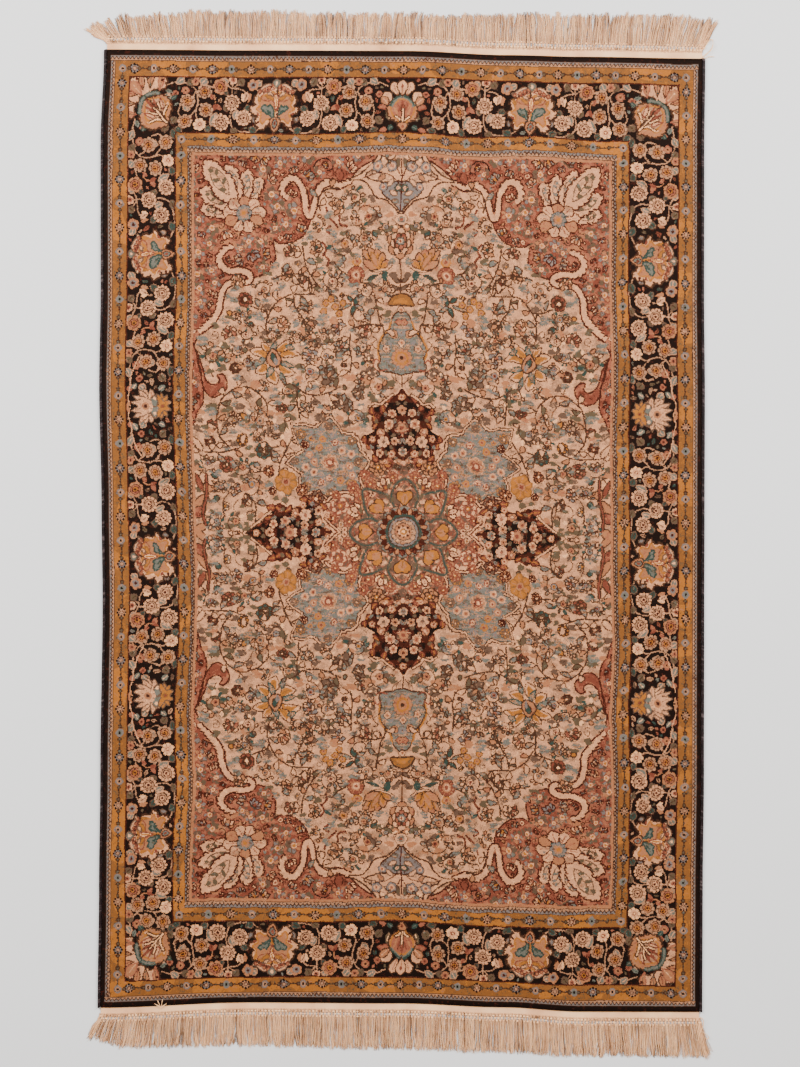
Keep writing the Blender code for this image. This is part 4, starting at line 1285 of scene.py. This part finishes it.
# The wraps: the cord's middle line is cut into three stations a wrap, one of them sunk between two
# wraps, and the round section that follows it is pushed aside with its own width, as a wound yarn is.
RANDOM, REALIZE = "FunctionNodeRandomValue", "GeometryNodeRealizeInstances"
STORE, STORED = "GeometryNodeStoreNamedAttribute", "GeometryNodeInputNamedAttribute"
RESAMPLE, CIRCLE = "GeometryNodeResampleCurve", "GeometryNodeCurvePrimitiveCircle"
TUBE, SET_RADIUS = "GeometryNodeCurveToMesh", "GeometryNodeSetCurveRadius"
SET_POSITION = "GeometryNodeSetPosition"
wraps, given = new_tree("overcast_wraps", spacing="Float", radius="Float", depth="Float", slant="Float",
                        seed="Int", silk="Material")
station_gap = add_node(wraps, MATH, (given["spacing"], 3.0), operation="DIVIDE")
stations = add_node(wraps, RESAMPLE, {"Curve": given["Geometry"], "Length": station_gap}, mode="LENGTH")
count = add_node(wraps, "GeometryNodeSplineParameter").outputs["Index"]
turns = add_node(wraps, MATH, (count, 3.0), operation="DIVIDE")
turn = add_node(wraps, MATH, (turns,), operation="FLOOR")
of_three = add_node(wraps, MATH, (count, 3.0), operation="MODULO")
sunk = add_node(wraps, MATH, (of_three, 0.0, 0.1), operation="COMPARE")
uneven = add_node(wraps, RANDOM, {2: 0.93, 3: 1.0, "ID": turn, "Seed": given["seed"]}).outputs[1]
lower = add_node(wraps, MATH, (sunk, given["depth"]), operation="MULTIPLY")
girth = add_node(wraps, MATH, (uneven, lower), operation="SUBTRACT")
core = add_node(wraps, SET_RADIUS, {"Curve": stations, "Radius": girth})
here = add_node(wraps, "GeometryNodeInputPosition")
shade = add_node(wraps, RANDOM, {2: 0.0, 3: 1.0, "ID": turn, "Seed": given["seed"]}).outputs[1]
for name, value, kind in (("core", here, "FLOAT_VECTOR"), ("wrap_tone", shade, "FLOAT")):
    core = add_node(wraps, STORE, {"Geometry": core, "Name": name, "Value": value}, data_type=kind)
section = add_node(wraps, CIRCLE, {"Resolution": 12, "Radius": given["radius"]})
tube = add_node(wraps, TUBE, {"Curve": core, "Profile Curve": section, "Fill Caps": True})
middle = add_node(wraps, STORED, {"Name": "core"}, data_type="FLOAT_VECTOR")
off = add_node(wraps, VECTOR_MATH, (here, middle), operation="SUBTRACT")
sideways = add_node(wraps, SPLIT, (off,)).outputs[0]
lag = add_node(wraps, MATH, (sideways, given["slant"]), operation="MULTIPLY")
slanted = add_node(wraps, SET_POSITION, {"Geometry": tube, "Offset": add_node(wraps, COMBINE, {1: lag})})
end_tree(wraps, slanted, given["silk"])

# Overcast silk: a nearly black red-brown yarn, glossy where it goes over the cord, with a few wraps
# rubbed pale in patches of about a centimetre. A twist of 1.4 mm shows along each wrap.
overcast_silk, tree, shader = new_material("overcast_silk")
body_place = add_node(tree, "ShaderNodeTexCoord").outputs["Object"]
wrap_tone = add_node(tree, ATTRIBUTE, attribute_name="wrap_tone").outputs["Fac"]
worn = add_node(tree, NOISE, {"Vector": body_place, "Scale": 90.0, "Detail": 3.0})
own_tone = add_node(tree, MATH, (wrap_tone, 0.5), operation="MULTIPLY")
rubbed = add_node(tree, MATH, (worn, 0.6, own_tone), operation="MULTIPLY_ADD")
yarn = add_node(tree, "ShaderNodeValToRGB", (rubbed,))
set_ramp(yarn, ((0.2, "#050303"), (0.5, "#120605"), (0.68, "#211112"), (0.8, "#4d403f")))
twist = add_node(tree, "ShaderNodeTexWave", {"Vector": body_place, "Scale": 320.0, "Distortion": 3.0},
                 bands_direction="DIAGONAL").outputs["Fac"]
plug(tree, shader, {
    "Base Color": yarn,
    "Normal": add_node(tree, "ShaderNodeBump", {"Height": twist, "Strength": 0.35, "Distance": 0.2 * MM}),
    "Roughness": add_node(tree, MAP_RANGE, (worn, 0.0, 1.0, 0.35, 0.6)),
    "Sheen Weight": 0.1, "Sheen Tint": srgb("#8d7690"), "Specular IOR Level": 0.15})

for side, name in ((-1, "left"), (1, "right")):
    line = new_line("cord_line_" + name)
    spline = line.splines.new("POLY")
    spline.points.add(CORD_POINTS)
    for k, point in enumerate(spline.points):
        x, y = on_rug(side, 2 * k / CORD_POINTS - 1)
        point.co = (x + side * (PIECE_GAP + CORD_RADIUS), y, CORD_RADIUS, 1)
    cord = grow("overcast_cord_" + name, line, wraps, spacing=WRAP_SPACING, radius=CORD_RADIUS,
                depth=WRAP_DEPTH, slant=-side * WRAP_SLANT, seed=3 + side, silk=overcast_silk)
    cord.data.polygons.foreach_set("use_smooth", [True] * len(cord.data.polygons))
    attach(cord, "root")
    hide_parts("side_cord_" + name)

# ---------------------------------------------------------------- the woven ends
# Beyond the pile the silk warps are woven with cream wefts into a strip 11 mm wide, which holds the
# last row of knots. It is a plain weave with the wefts beaten down close, so it shows as fine ribs.
STRIP_WIDTH, STRIP_THICKNESS = 11.0 * MM, 1.8 * MM
WEFT_ROWS, WARP_STEPS = 9, 620
WEFT_RELIEF, WARP_RELIEF = 0.42 * MM, 0.16 * MM
STRIP_DROOP, DROOP_SHARE = 0.5 * MM, 0.2                  # how far its outer fifth sinks to the floor


def on_end(across, end, outside):
    """A point beside the pile's top (end 1) or bottom (end -1) edge, that far outside it."""
    x, y = on_rug(across, end)
    return x, y + end * outside


def make_strip(name, end):
    """The woven strip: its top is a grid that rises at each weft and dips at each crossing warp."""
    rows, across = WEFT_ROWS * 3 + 1, WARP_STEPS + 1
    points = []
    for j in range(rows):
        out = j / (rows - 1)
        ridge = 1.0 if j % 3 else 0.0
        droop = -STRIP_DROOP * max(0.0, out - (1 - DROOP_SHARE)) / DROOP_SHARE
        for i in range(across):
            x, y = on_end(2 * i / WARP_STEPS - 1, end, PIECE_GAP + out * STRIP_WIDTH)
            rise = WEFT_RELIEF * (ridge - 1) - WARP_RELIEF * ((i + j // 3) % 2) * ridge
            points.append((x, y, STRIP_THICKNESS + rise + droop))
    inner = len(points)
    for out in (0, 1):
        for i in range(across):
            points.append((*on_end(2 * i / WARP_STEPS - 1, end, PIECE_GAP + out * STRIP_WIDTH), 0.0))
    faces = [(j * across + i, j * across + i + 1, (j + 1) * across + i + 1, (j + 1) * across + i)
             for j in range(rows - 1) for i in range(WARP_STEPS)]
    outer, last = inner + across, (rows - 1) * across
    for i in range(WARP_STEPS):
        faces.append((inner + i, outer + i, outer + i + 1, inner + i + 1))
        faces.append((i, inner + i, inner + i + 1, i + 1))
        faces.append((last + i + 1, outer + i + 1, outer + i, last + i))
    left_side = [j * across for j in range(rows)]
    faces.append((inner, *left_side, outer))
    faces.append((outer + WARP_STEPS, *(j + WARP_STEPS for j in reversed(left_side)), inner + WARP_STEPS))
    mesh = new_mesh(name, points, faces)
    if end < 0:
        mesh.flip_normals()
    set_values(mesh, "thread_tone_and_shade", [0.6] * len(points))
    return add_object(name, mesh)


# Undyed silk: cream warp yarn, a twist of 1.7 mm, a soft gloss along each thread and a little grey
# dust where it is handled. Each fringe thread has its own tone, with painted shade on the lower threads
# and at the edges of each bunch.
undyed_silk, tree, shader = new_material("undyed_silk")
yarn_place = add_node(tree, "ShaderNodeTexCoord").outputs["Object"]
thread_tone_and_shade = add_node(tree, ATTRIBUTE, attribute_name="thread_tone_and_shade").outputs["Fac"]
dust = add_node(tree, NOISE, {"Vector": yarn_place, "Scale": 24.0, "Detail": 5.0})
own_tone = add_node(tree, MATH, (thread_tone_and_shade, 0.9, -0.12), operation="MULTIPLY_ADD")
blend = add_node(tree, MATH, (dust, 0.7, own_tone), operation="MULTIPLY_ADD")
cream = add_node(tree, "ShaderNodeValToRGB", (blend,))
set_ramp(cream, ((0.3, "#5f412e"), (0.46, "#a97853"), (0.68, "#e5aa7b"), (0.9, "#fbc894")))
ply = add_node(tree, "ShaderNodeTexWave", {"Vector": yarn_place, "Scale": 260.0, "Distortion": 2.0},
               bands_direction="DIAGONAL").outputs["Fac"]
plug(tree, shader, {
    "Base Color": cream,
    "Normal": add_node(tree, "ShaderNodeBump", {"Height": ply, "Strength": 0.3, "Distance": 0.15 * MM}),
    "Roughness": add_node(tree, MAP_RANGE, (dust, 0.0, 1.0, 0.42, 0.6)),
    "Sheen Weight": 0.15, "Sheen Tint": srgb("#e8c9ae"), "Specular IOR Level": 0.25})

for end, name in ((1, "top"), (-1, "bottom")):
    strip = make_strip("woven_end_" + name, end)
    strip.data.materials.append(undyed_silk)
    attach(strip, "root")
    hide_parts("fringed_end_" + name)

# ---------------------------------------------------------------- the fringes
# The warps run on beyond the woven ends. They are tied in little bunches, three rows of knots set
# like bricks, and hang as loose threads beyond them, straight in the middle and swept out at the corners.
TUFTS, THREADS = 176, 16
THREAD_RADIUS, KNOT_ROW = 0.34 * MM, 3.9 * MM
TUCKED = 2.2 * MM                                    # how far the first knots sit over the woven end
FRINGE = ((-1, -46, 37, -30, 36), (-0.965, -30, 39, -17, 44), (-0.91, -12, 43, -8, 52),
          (-0.6, 0, 49, 0, 55), (0, 0, 46, 0, 59), (0.5, 1, 53, 1, 58), (0.75, 5, 55, 2, 57),
          (0.9, 16, 55, 5, 58),
          (1, 27, 50, 11, 60))          # place, then lean in degrees and length in mm, top and bottom

net, given = new_tree("knotted_fringe", threads="Int", thread_radius="Float", tuft_width="Float",
                      knot_row="Float", outward="Float", seed="Int", silk="Material")
tufts = add_node(net, "GeometryNodeMeshToPoints", {"Mesh": given["Geometry"]})
many = add_node(net, "GeometryNodeDuplicateElements", {"Geometry": tufts, "Amount": given["threads"]},
                domain="POINT")
spot = add_node(net, SPLIT, (add_node(net, "GeometryNodeInputPosition"),)).outputs
field = {name: given[name] for name in ("threads", "thread_radius", "tuft_width", "knot_row", "outward")}
field.update(x=spot[0], y=spot[1], copy=many.outputs["Duplicate Index"],
             number=add_node(net, "GeometryNodeInputIndex").outputs[0],
             step=add_node(net, "GeometryNodeSplineParameter").outputs["Index"])
for name in ("lean", "reach", "gather", "tone", "spread", "layer", "thread"):
    field[name] = add_node(net, STORED, {"Name": name}, data_type="FLOAT").outputs["Attribute"]
for name, low, high, owner, seed in (
        ("any_depth", 0.0, 1.0, "number", 8), ("any_tone", 0.0, 1.0, "number", given["seed"]),
        ("any_reach", -4.2 * MM, 2.6 * MM, "thread", 21), ("any_lean", -0.045, 0.045, "thread", 7),
        ("phase", 0.0, 6.28, "thread", 5), ("waviness", 0.3 * MM, 1.3 * MM, "thread", 6)):
    field[name] = add_node(net, RANDOM, {2: low, 3: high, "ID": field[owner], "Seed": seed}).outputs[1]

# What is worked out for each thread, and for each of its nine points: a result, how, and from what.
for name, operation, *inputs in (
        # the thread's place in its bunch, from -0.5 to 0.5, its layer and its tone, with painted shade:
        # paler when high, darker when low and at the edges of the bunch
        ("counted", "ADD", "copy", 0.5),
        ("share", "DIVIDE", "counted", "threads"),
        ("place", "SUBTRACT", "share", 0.5),
        ("depth", "POWER", "any_depth", 1.6),
        ("off_middle", "ABSOLUTE", "spread"),
        ("bunch_tone", "MULTIPLY", "tone", 0.25),
        ("uneven_tone", "MULTIPLY_ADD", "any_tone", 0.3, "bunch_tone"),
        # painted shade: lower threads and those at a bunch's edges are coloured darker
        ("layer_shade_tone", "MULTIPLY_ADD", "depth", 0.6, "uneven_tone"),
        ("thread_tone_and_shade", "MULTIPLY_ADD", "off_middle", -0.45, "layer_shade_tone"),
        # how far out a point is: at the three knot rows first, then evenly to the tip
        ("own_reach", "ADD", "reach", "any_reach"),
        ("tip_reach", "MULTIPLY_ADD", "off_middle", -6.0 * MM, "own_reach"),
        ("netted", "MINIMUM", "step", 3.0),
        ("past_net", "SUBTRACT", "step", 3.0),
        ("beyond", "MAXIMUM", "past_net", 0.0),
        ("loose", "DIVIDE", "beyond", 5.0),
        ("net_depth", "MULTIPLY", "knot_row", 3.0),
        ("loose_reach", "SUBTRACT", "tip_reach", "net_depth"),
        ("netted_out", "MULTIPLY", "netted", "knot_row"),
        ("out", "MULTIPLY_ADD", "loose", "loose_reach", "netted_out"),
        # how far aside: drawn together at each knot, over to the neighbours' side at the middle row
        ("at_knot", "COMPARE", "step", 2.0, 1.1),
        ("crossed", "COMPARE", "step", 2.0, 0.1),
        ("uncrossed", "SUBTRACT", 1.0, "crossed"),
        ("which_side", "SIGN", "spread"),
        ("opened", "MULTIPLY", "loose", "loose"),
        ("gathered", "MULTIPLY_ADD", "opened", "gather", 1.26),
        ("drawn", "MULTIPLY_ADD", "at_knot", -0.32, "gathered"),
        ("own_aside", "MULTIPLY", "spread", "drawn"),
        ("own", "MULTIPLY", "own_aside", "uncrossed"),
        ("half_over", "MULTIPLY", "which_side", 0.5),
        ("inward", "MULTIPLY_ADD", "which_side", -0.25, "spread"),
        ("over_aside", "MULTIPLY_ADD", "inward", 0.4, "half_over"),
        ("over", "MULTIPLY", "over_aside", "crossed"),
        ("widths_aside", "ADD", "own", "over"),
        ("aside", "MULTIPLY", "widths_aside", "tuft_width"),
        # loose threads curl, one by one, and sway in bunches, the more the nearer to their tips
        ("curl_angle", "MULTIPLY_ADD", "out", 130.0, "phase"),
        ("curl_wave", "SINE", "curl_angle"),
        ("curl_size", "MULTIPLY", "loose", "waviness"),
        ("curl", "MULTIPLY", "curl_wave", "curl_size"),
        ("bunch_phase", "MULTIPLY", "tone", 30.0),
        ("sway_angle", "MULTIPLY_ADD", "out", 110.0, "bunch_phase"),
        ("sway_wave", "SINE", "sway_angle"),
        ("sway_size", "MULTIPLY", "loose", 1.6 * MM),
        ("swayed", "MULTIPLY_ADD", "sway_wave", "sway_size", "curl"),
        # they lean to one side, and lie at rest in layers, a little higher where the net holds them
        ("own_lean", "ADD", "lean", "any_lean"),
        ("lean_sine", "SINE", "own_lean"),
        ("lean_cosine", "COSINE", "own_lean"),
        ("leaned", "MULTIPLY", "lean_sine", "out"),
        ("straight_out", "MULTIPLY", "lean_cosine", "out"),
        ("forward", "MULTIPLY", "straight_out", "outward"),
        ("bunch_sine", "SINE", "lean"),
        ("layer_height", "MULTIPLY", "layer", 1.7 * MM),
        ("resting", "ADD", "thread_radius", "layer_height"),
        ("held", "SUBTRACT", 1.0, "loose"),
        ("lifted", "MULTIPLY", "held", 0.3 * MM),
        ("height", "ADD", "resting", "lifted"),
        ("along", "ADD", "y", "forward"),
        ("beside", "ADD", "aside", "swayed")):
    field[name] = add_node(net, MATH, [field.get(value, value) for value in inputs], operation=operation)
lean_share = add_node(net, MAP_RANGE, (field["out"], 0.0, 20.0 * MM, 0.5, 1.0))
swept = add_node(net, MATH, (field["leaned"], lean_share), operation="MULTIPLY")
sideways = add_node(net, MATH, (field["beside"], swept), operation="ADD")
across = add_node(net, MATH, (field["x"], sideways), operation="ADD")

# The threads: each bunch becomes so many straight lines of nine points, and the points then take
# their places. A thread is a thin yarn, thinner at its tip.
threads = many
for name, value in (("spread", "place"), ("layer", "depth"), ("thread_tone_and_shade", "thread_tone_and_shade"),
                    ("thread", "number")):
    threads = add_node(net, STORE, {"Geometry": threads, "Name": name, "Value": field[value]},
                       data_type="FLOAT")
straight = add_node(net, "GeometryNodeCurvePrimitiveLine", {"End": (0.0, 0.0, 1.0)})
straight = add_node(net, RESAMPLE, {"Curve": straight, "Count": 9}, mode="COUNT")
lines = add_node(net, "GeometryNodeInstanceOnPoints", {"Points": threads, "Instance": straight})
lines = add_node(net, REALIZE, (lines,))
goal = add_node(net, COMBINE, (across, field["along"], field["height"]))
lines = add_node(net, SET_POSITION, {"Geometry": lines, "Position": goal})
taper = add_node(net, MAP_RANGE, (field["loose"], 0.6, 1.0, 1.0, 0.65))
lines = add_node(net, SET_RADIUS, {"Curve": lines, "Radius": taper})
section = add_node(net, CIRCLE, {"Resolution": 3, "Radius": given["thread_radius"]})
yarns = add_node(net, TUBE, {"Curve": lines, "Profile Curve": section, "Fill Caps": True})

# The knots: small round bobbles, in the first and third rows on each tuft, in the second between two.
KNOT_SIZES = {0: (1.6 * MM, 1.2 * MM, 0.8 * MM), 1: (2.4 * MM, 1.8 * MM, 1.2 * MM)}   # least, most
bobble = add_node(net, "GeometryNodeMeshUVSphere", {"Segments": 7, "Rings": 4, "Radius": 1.0})
bobble = add_node(net, "GeometryNodeSetShadeSmooth", {"Geometry": bobble})
parts = [yarns]
for row_number, (beside, seed) in enumerate(((0.0, 31), (0.5, 32), (0.0, 33)), start=1):
    row_out = add_node(net, MATH, (given["knot_row"], float(row_number)), operation="MULTIPLY")
    row_lean = add_node(net, MATH, (row_out, 0.7), operation="MULTIPLY")
    row_lean = add_node(net, MATH, (field["bunch_sine"], row_lean), operation="MULTIPLY")
    knot_x = add_node(net, MATH, (given["tuft_width"], beside, row_lean), operation="MULTIPLY_ADD")
    knot_y = add_node(net, MATH, (row_out, given["outward"]), operation="MULTIPLY")
    offset = add_node(net, COMBINE, (knot_x, knot_y, (2.2 - 0.4 * row_number) * MM))
    spots = add_node(net, SET_POSITION, {"Geometry": tufts, "Offset": offset})
    tone = add_node(net, RANDOM, {2: 0.2, 3: 1.0, "ID": field["number"], "Seed": seed}).outputs[1]
    spots = add_node(net, STORE, {"Geometry": spots, "Name": "thread_tone_and_shade", "Value": tone},
                     data_type="FLOAT")
    size = add_node(net, RANDOM, {**KNOT_SIZES, "ID": field["number"], "Seed": seed},
                    data_type="FLOAT_VECTOR")
    bobbles = add_node(net, "GeometryNodeInstanceOnPoints",
                       {"Points": spots, "Instance": bobble, "Scale": size})
    parts.append(add_node(net, REALIZE, (bobbles,)))
joined = add_node(net, "GeometryNodeJoinGeometry")
for part in parts:
    plug(net, joined, (part,))
end_tree(net, joined, given["silk"])

# The combing is rougher at the top: leans and lengths wander from bunch to bunch, and bunches part.
# The corners have more bunches, swept out: for each its lean in degrees and its length in mm.
CORNER_SWEEP = {
    "top": (((-62, 30), (-56, 36), (-50, 34), (-44, 37), (-38, 38), (-28, 39)),
            ((16, 51), (22, 52), (29, 48))),
    "bottom": (((-36, 30), (-26, 38), (-21, 40)), ((8, 60), (13, 61), (17, 56)))}
# A few yarns have come loose: a loop and a short end at each right-hand corner, two threads that have
# strayed out of the fringe and, at the bottom, a little pulled tuft over the dark edge. For each:
# the place along the end, its number of threads, then steps aside, outward and up in mm.
LOOSE = {
    "top": ((1.0, 4, ((-2, 1, 1.5), (6, 6, 3), (14, 13, 3), (17, 24, 3), (14, 31, 2), (9, 27, 2),
                      (3, 14, 2))),
            (1.0, 2, ((-1, 2, 1.5), (5, 0, 2.5), (10, 4, 2), (18, 3, 0.8))),
            (0.655, 1, ((0, 20, 2), (-1, 34, 3), (4, 44, 3), (2, 56, 2), (-4, 63, 1))),
            (0.9, 1, ((0, 12, 2), (-6, 30, 3), (2, 42, 3), (-8, 60, 1)))),
    "bottom": ((1.0, 4, ((-5, 20, 2), (-4, 11, 3), (2, 8, 3), (7, 13, 3), (6, 23, 3), (1, 30, 2),
                         (-2, 44, 2))),
               (1.0, 2, ((0, 28, 2), (8, 32, 3), (14, 37, 3), (14, 42, 2), (9, 40, 1))),
               (-0.8, 2, ((1, 4, 3), (-3, -1, 5.0), (-9, -4, 4.8))),
               (-0.8, 2, ((0, 4, 3), (-1, -3, 5.2), (-4, -9, 4.9))),
               (-0.8, 2, ((0, 4, 3), (2, -3, 5.2), (3, -10, 4.9))),
               (-0.8, 2, ((-1, 4, 3), (4, 0, 5.0), (9, -3, 4.8))))}
random.seed(11)
for end, name, lean_column, rough in ((1, "top", 1, 1.0), (-1, "bottom", 3, 0.4)):
    bunches = [(2 * (k + 0.5) / TUFTS - 1, None, None) for k in range(TUFTS)]
    for side, sweep in zip((-1, 1), CORNER_SWEEP[name]):
        bunches += [(side * random.uniform(0.985, 0.998), lean, length) for lean, length in sweep]
    columns = {"lean": [], "reach": [], "gather": [], "tone": []}
    points, wander, parted = [], 0.0, 0.0
    for across, lean, length in bunches:
        points.append((*on_end(across, end, PIECE_GAP + STRIP_WIDTH - TUCKED), 0.0))
        wander = 0.72 * wander + random.uniform(-2.2, 2.2) * rough
        parted = random.choice((-5.0, 5.0)) if random.random() < 0.035 * rough else parted * 0.5
        if lean is None:
            lean, length = (read_table(FRINGE, lean_column + k, across) for k in (0, 1))
        columns["lean"].append(math.radians(lean + wander + parted + random.uniform(-1.5, 1.5)))
        columns["reach"].append((length + TUCKED / MM + random.uniform(-2.6, 3.6) * rough) * MM)
        columns["gather"].append(-random.uniform(0.0, 0.55) * rough)
        columns["tone"].append(random.random())
    seeds = new_mesh("tufts_" + name, points)
    for column, values in columns.items():
        set_values(seeds, column, values)
    fringe = grow("knotted_fringe_" + name, seeds, net, threads=THREADS, thread_radius=THREAD_RADIUS,
                  tuft_width=PILE_WIDTH / TUFTS, knot_row=KNOT_ROW, outward=float(end), seed=40 + end,
                  silk=undyed_silk)
    # the loose yarns of this end
    curve = new_line("loose_yarns_" + name)
    curve.bevel_depth, curve.bevel_resolution, curve.resolution_u = THREAD_RADIUS, 1, 5
    curve.use_fill_caps = True
    for across, strands, path in LOOSE[name]:
        x, y = on_end(across, end, 0.0)
        for strand in range(strands):
            spline = curve.splines.new("NURBS")
            spline.points.add(len(path) - 1)
            spline.use_endpoint_u, spline.order_u = True, 3
            for point, (aside, out, high) in zip(spline.points, path):
                stray, stray_out = random.uniform(-0.8, 0.8), random.uniform(-0.8, 0.8)
                point.co = (x + (aside + stray) * MM, y + end * (out + stray_out) * MM,
                            (high + 0.3 * strand) * MM, 1.0)
    mesh = finished_mesh("loose_yarns_" + name, add_object("holder", curve))
    set_values(mesh, "thread_tone_and_shade", [0.7] * len(mesh.vertices))
    mesh.materials.clear()
    mesh.materials.append(undyed_silk)
    loose = add_object("loose_yarns_" + name, mesh)
    for piece in (fringe, loose):
        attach(piece, "root")
        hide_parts("fringed_end_" + name)

# ---------------------------------------------------------------- the floor and the light
# A plain pale floor under the rug, two large soft lights above its long sides, and a pale room.
FLOOR_SIZE, FLOOR_DROP = 9.0, 0.2 * MM
SOFTBOXES = (("left", (-1.9, 1.2, 2.3), 125.0), ("right", (1.9, 1.4, 2.3), 130.0))   # place, then watts
SOFTBOX_WIDTH, SOFTBOX_LENGTH, AIM = 1.2, 2.0, Vector((0, 0.1, 0))
ROOM_COLOUR, ROOM_STRENGTH = "#e9e4df", 1.15
half = FLOOR_SIZE / 2
corners = [(x, y, -FLOOR_DROP) for x, y in ((-half, -half), (half, -half), (half, half), (-half, half))]
floor = add_object("floor", new_mesh("floor", corners, [(0, 1, 2, 3)]))

# Painted floor: a matt pale grey paint, with faint clouds in it about a third of a metre across.
painted_floor, tree, shader = new_material("painted_floor")
floor_place = add_node(tree, "ShaderNodeTexCoord").outputs["Object"]
clouds = add_node(tree, NOISE, {"Vector": floor_place, "Scale": 3.0, "Detail": 4.0})
grey = add_node(tree, MAP_RANGE, (clouds, 0.0, 1.0, 0.74, 0.78))
plug(tree, shader, {"Base Color": grey, "Roughness": 0.8})
floor.data.materials.append(painted_floor)
floor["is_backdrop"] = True

for name, place, power in SOFTBOXES:
    lamp = bpy.data.lights.new("softbox_" + name, "AREA")
    lamp.shape = "RECTANGLE"
    lamp.size, lamp.size_y = SOFTBOX_WIDTH, SOFTBOX_LENGTH
    lamp.energy = power
    softbox = add_object("softbox_" + name, lamp)
    softbox.location = place
    softbox.rotation_euler = (AIM - Vector(place)).to_track_quat("-Z", "Y").to_euler()
room = bpy.data.worlds.new("room")
room.use_nodes = True
plug(room.node_tree, room.node_tree.nodes["Background"],
     {"Color": srgb(ROOM_COLOUR), "Strength": ROOM_STRENGTH})
scene.world = room

low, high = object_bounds()
sizes = {"cad": [list(cad_low), list(cad_high)], "visual": [list(low), list(high)]}
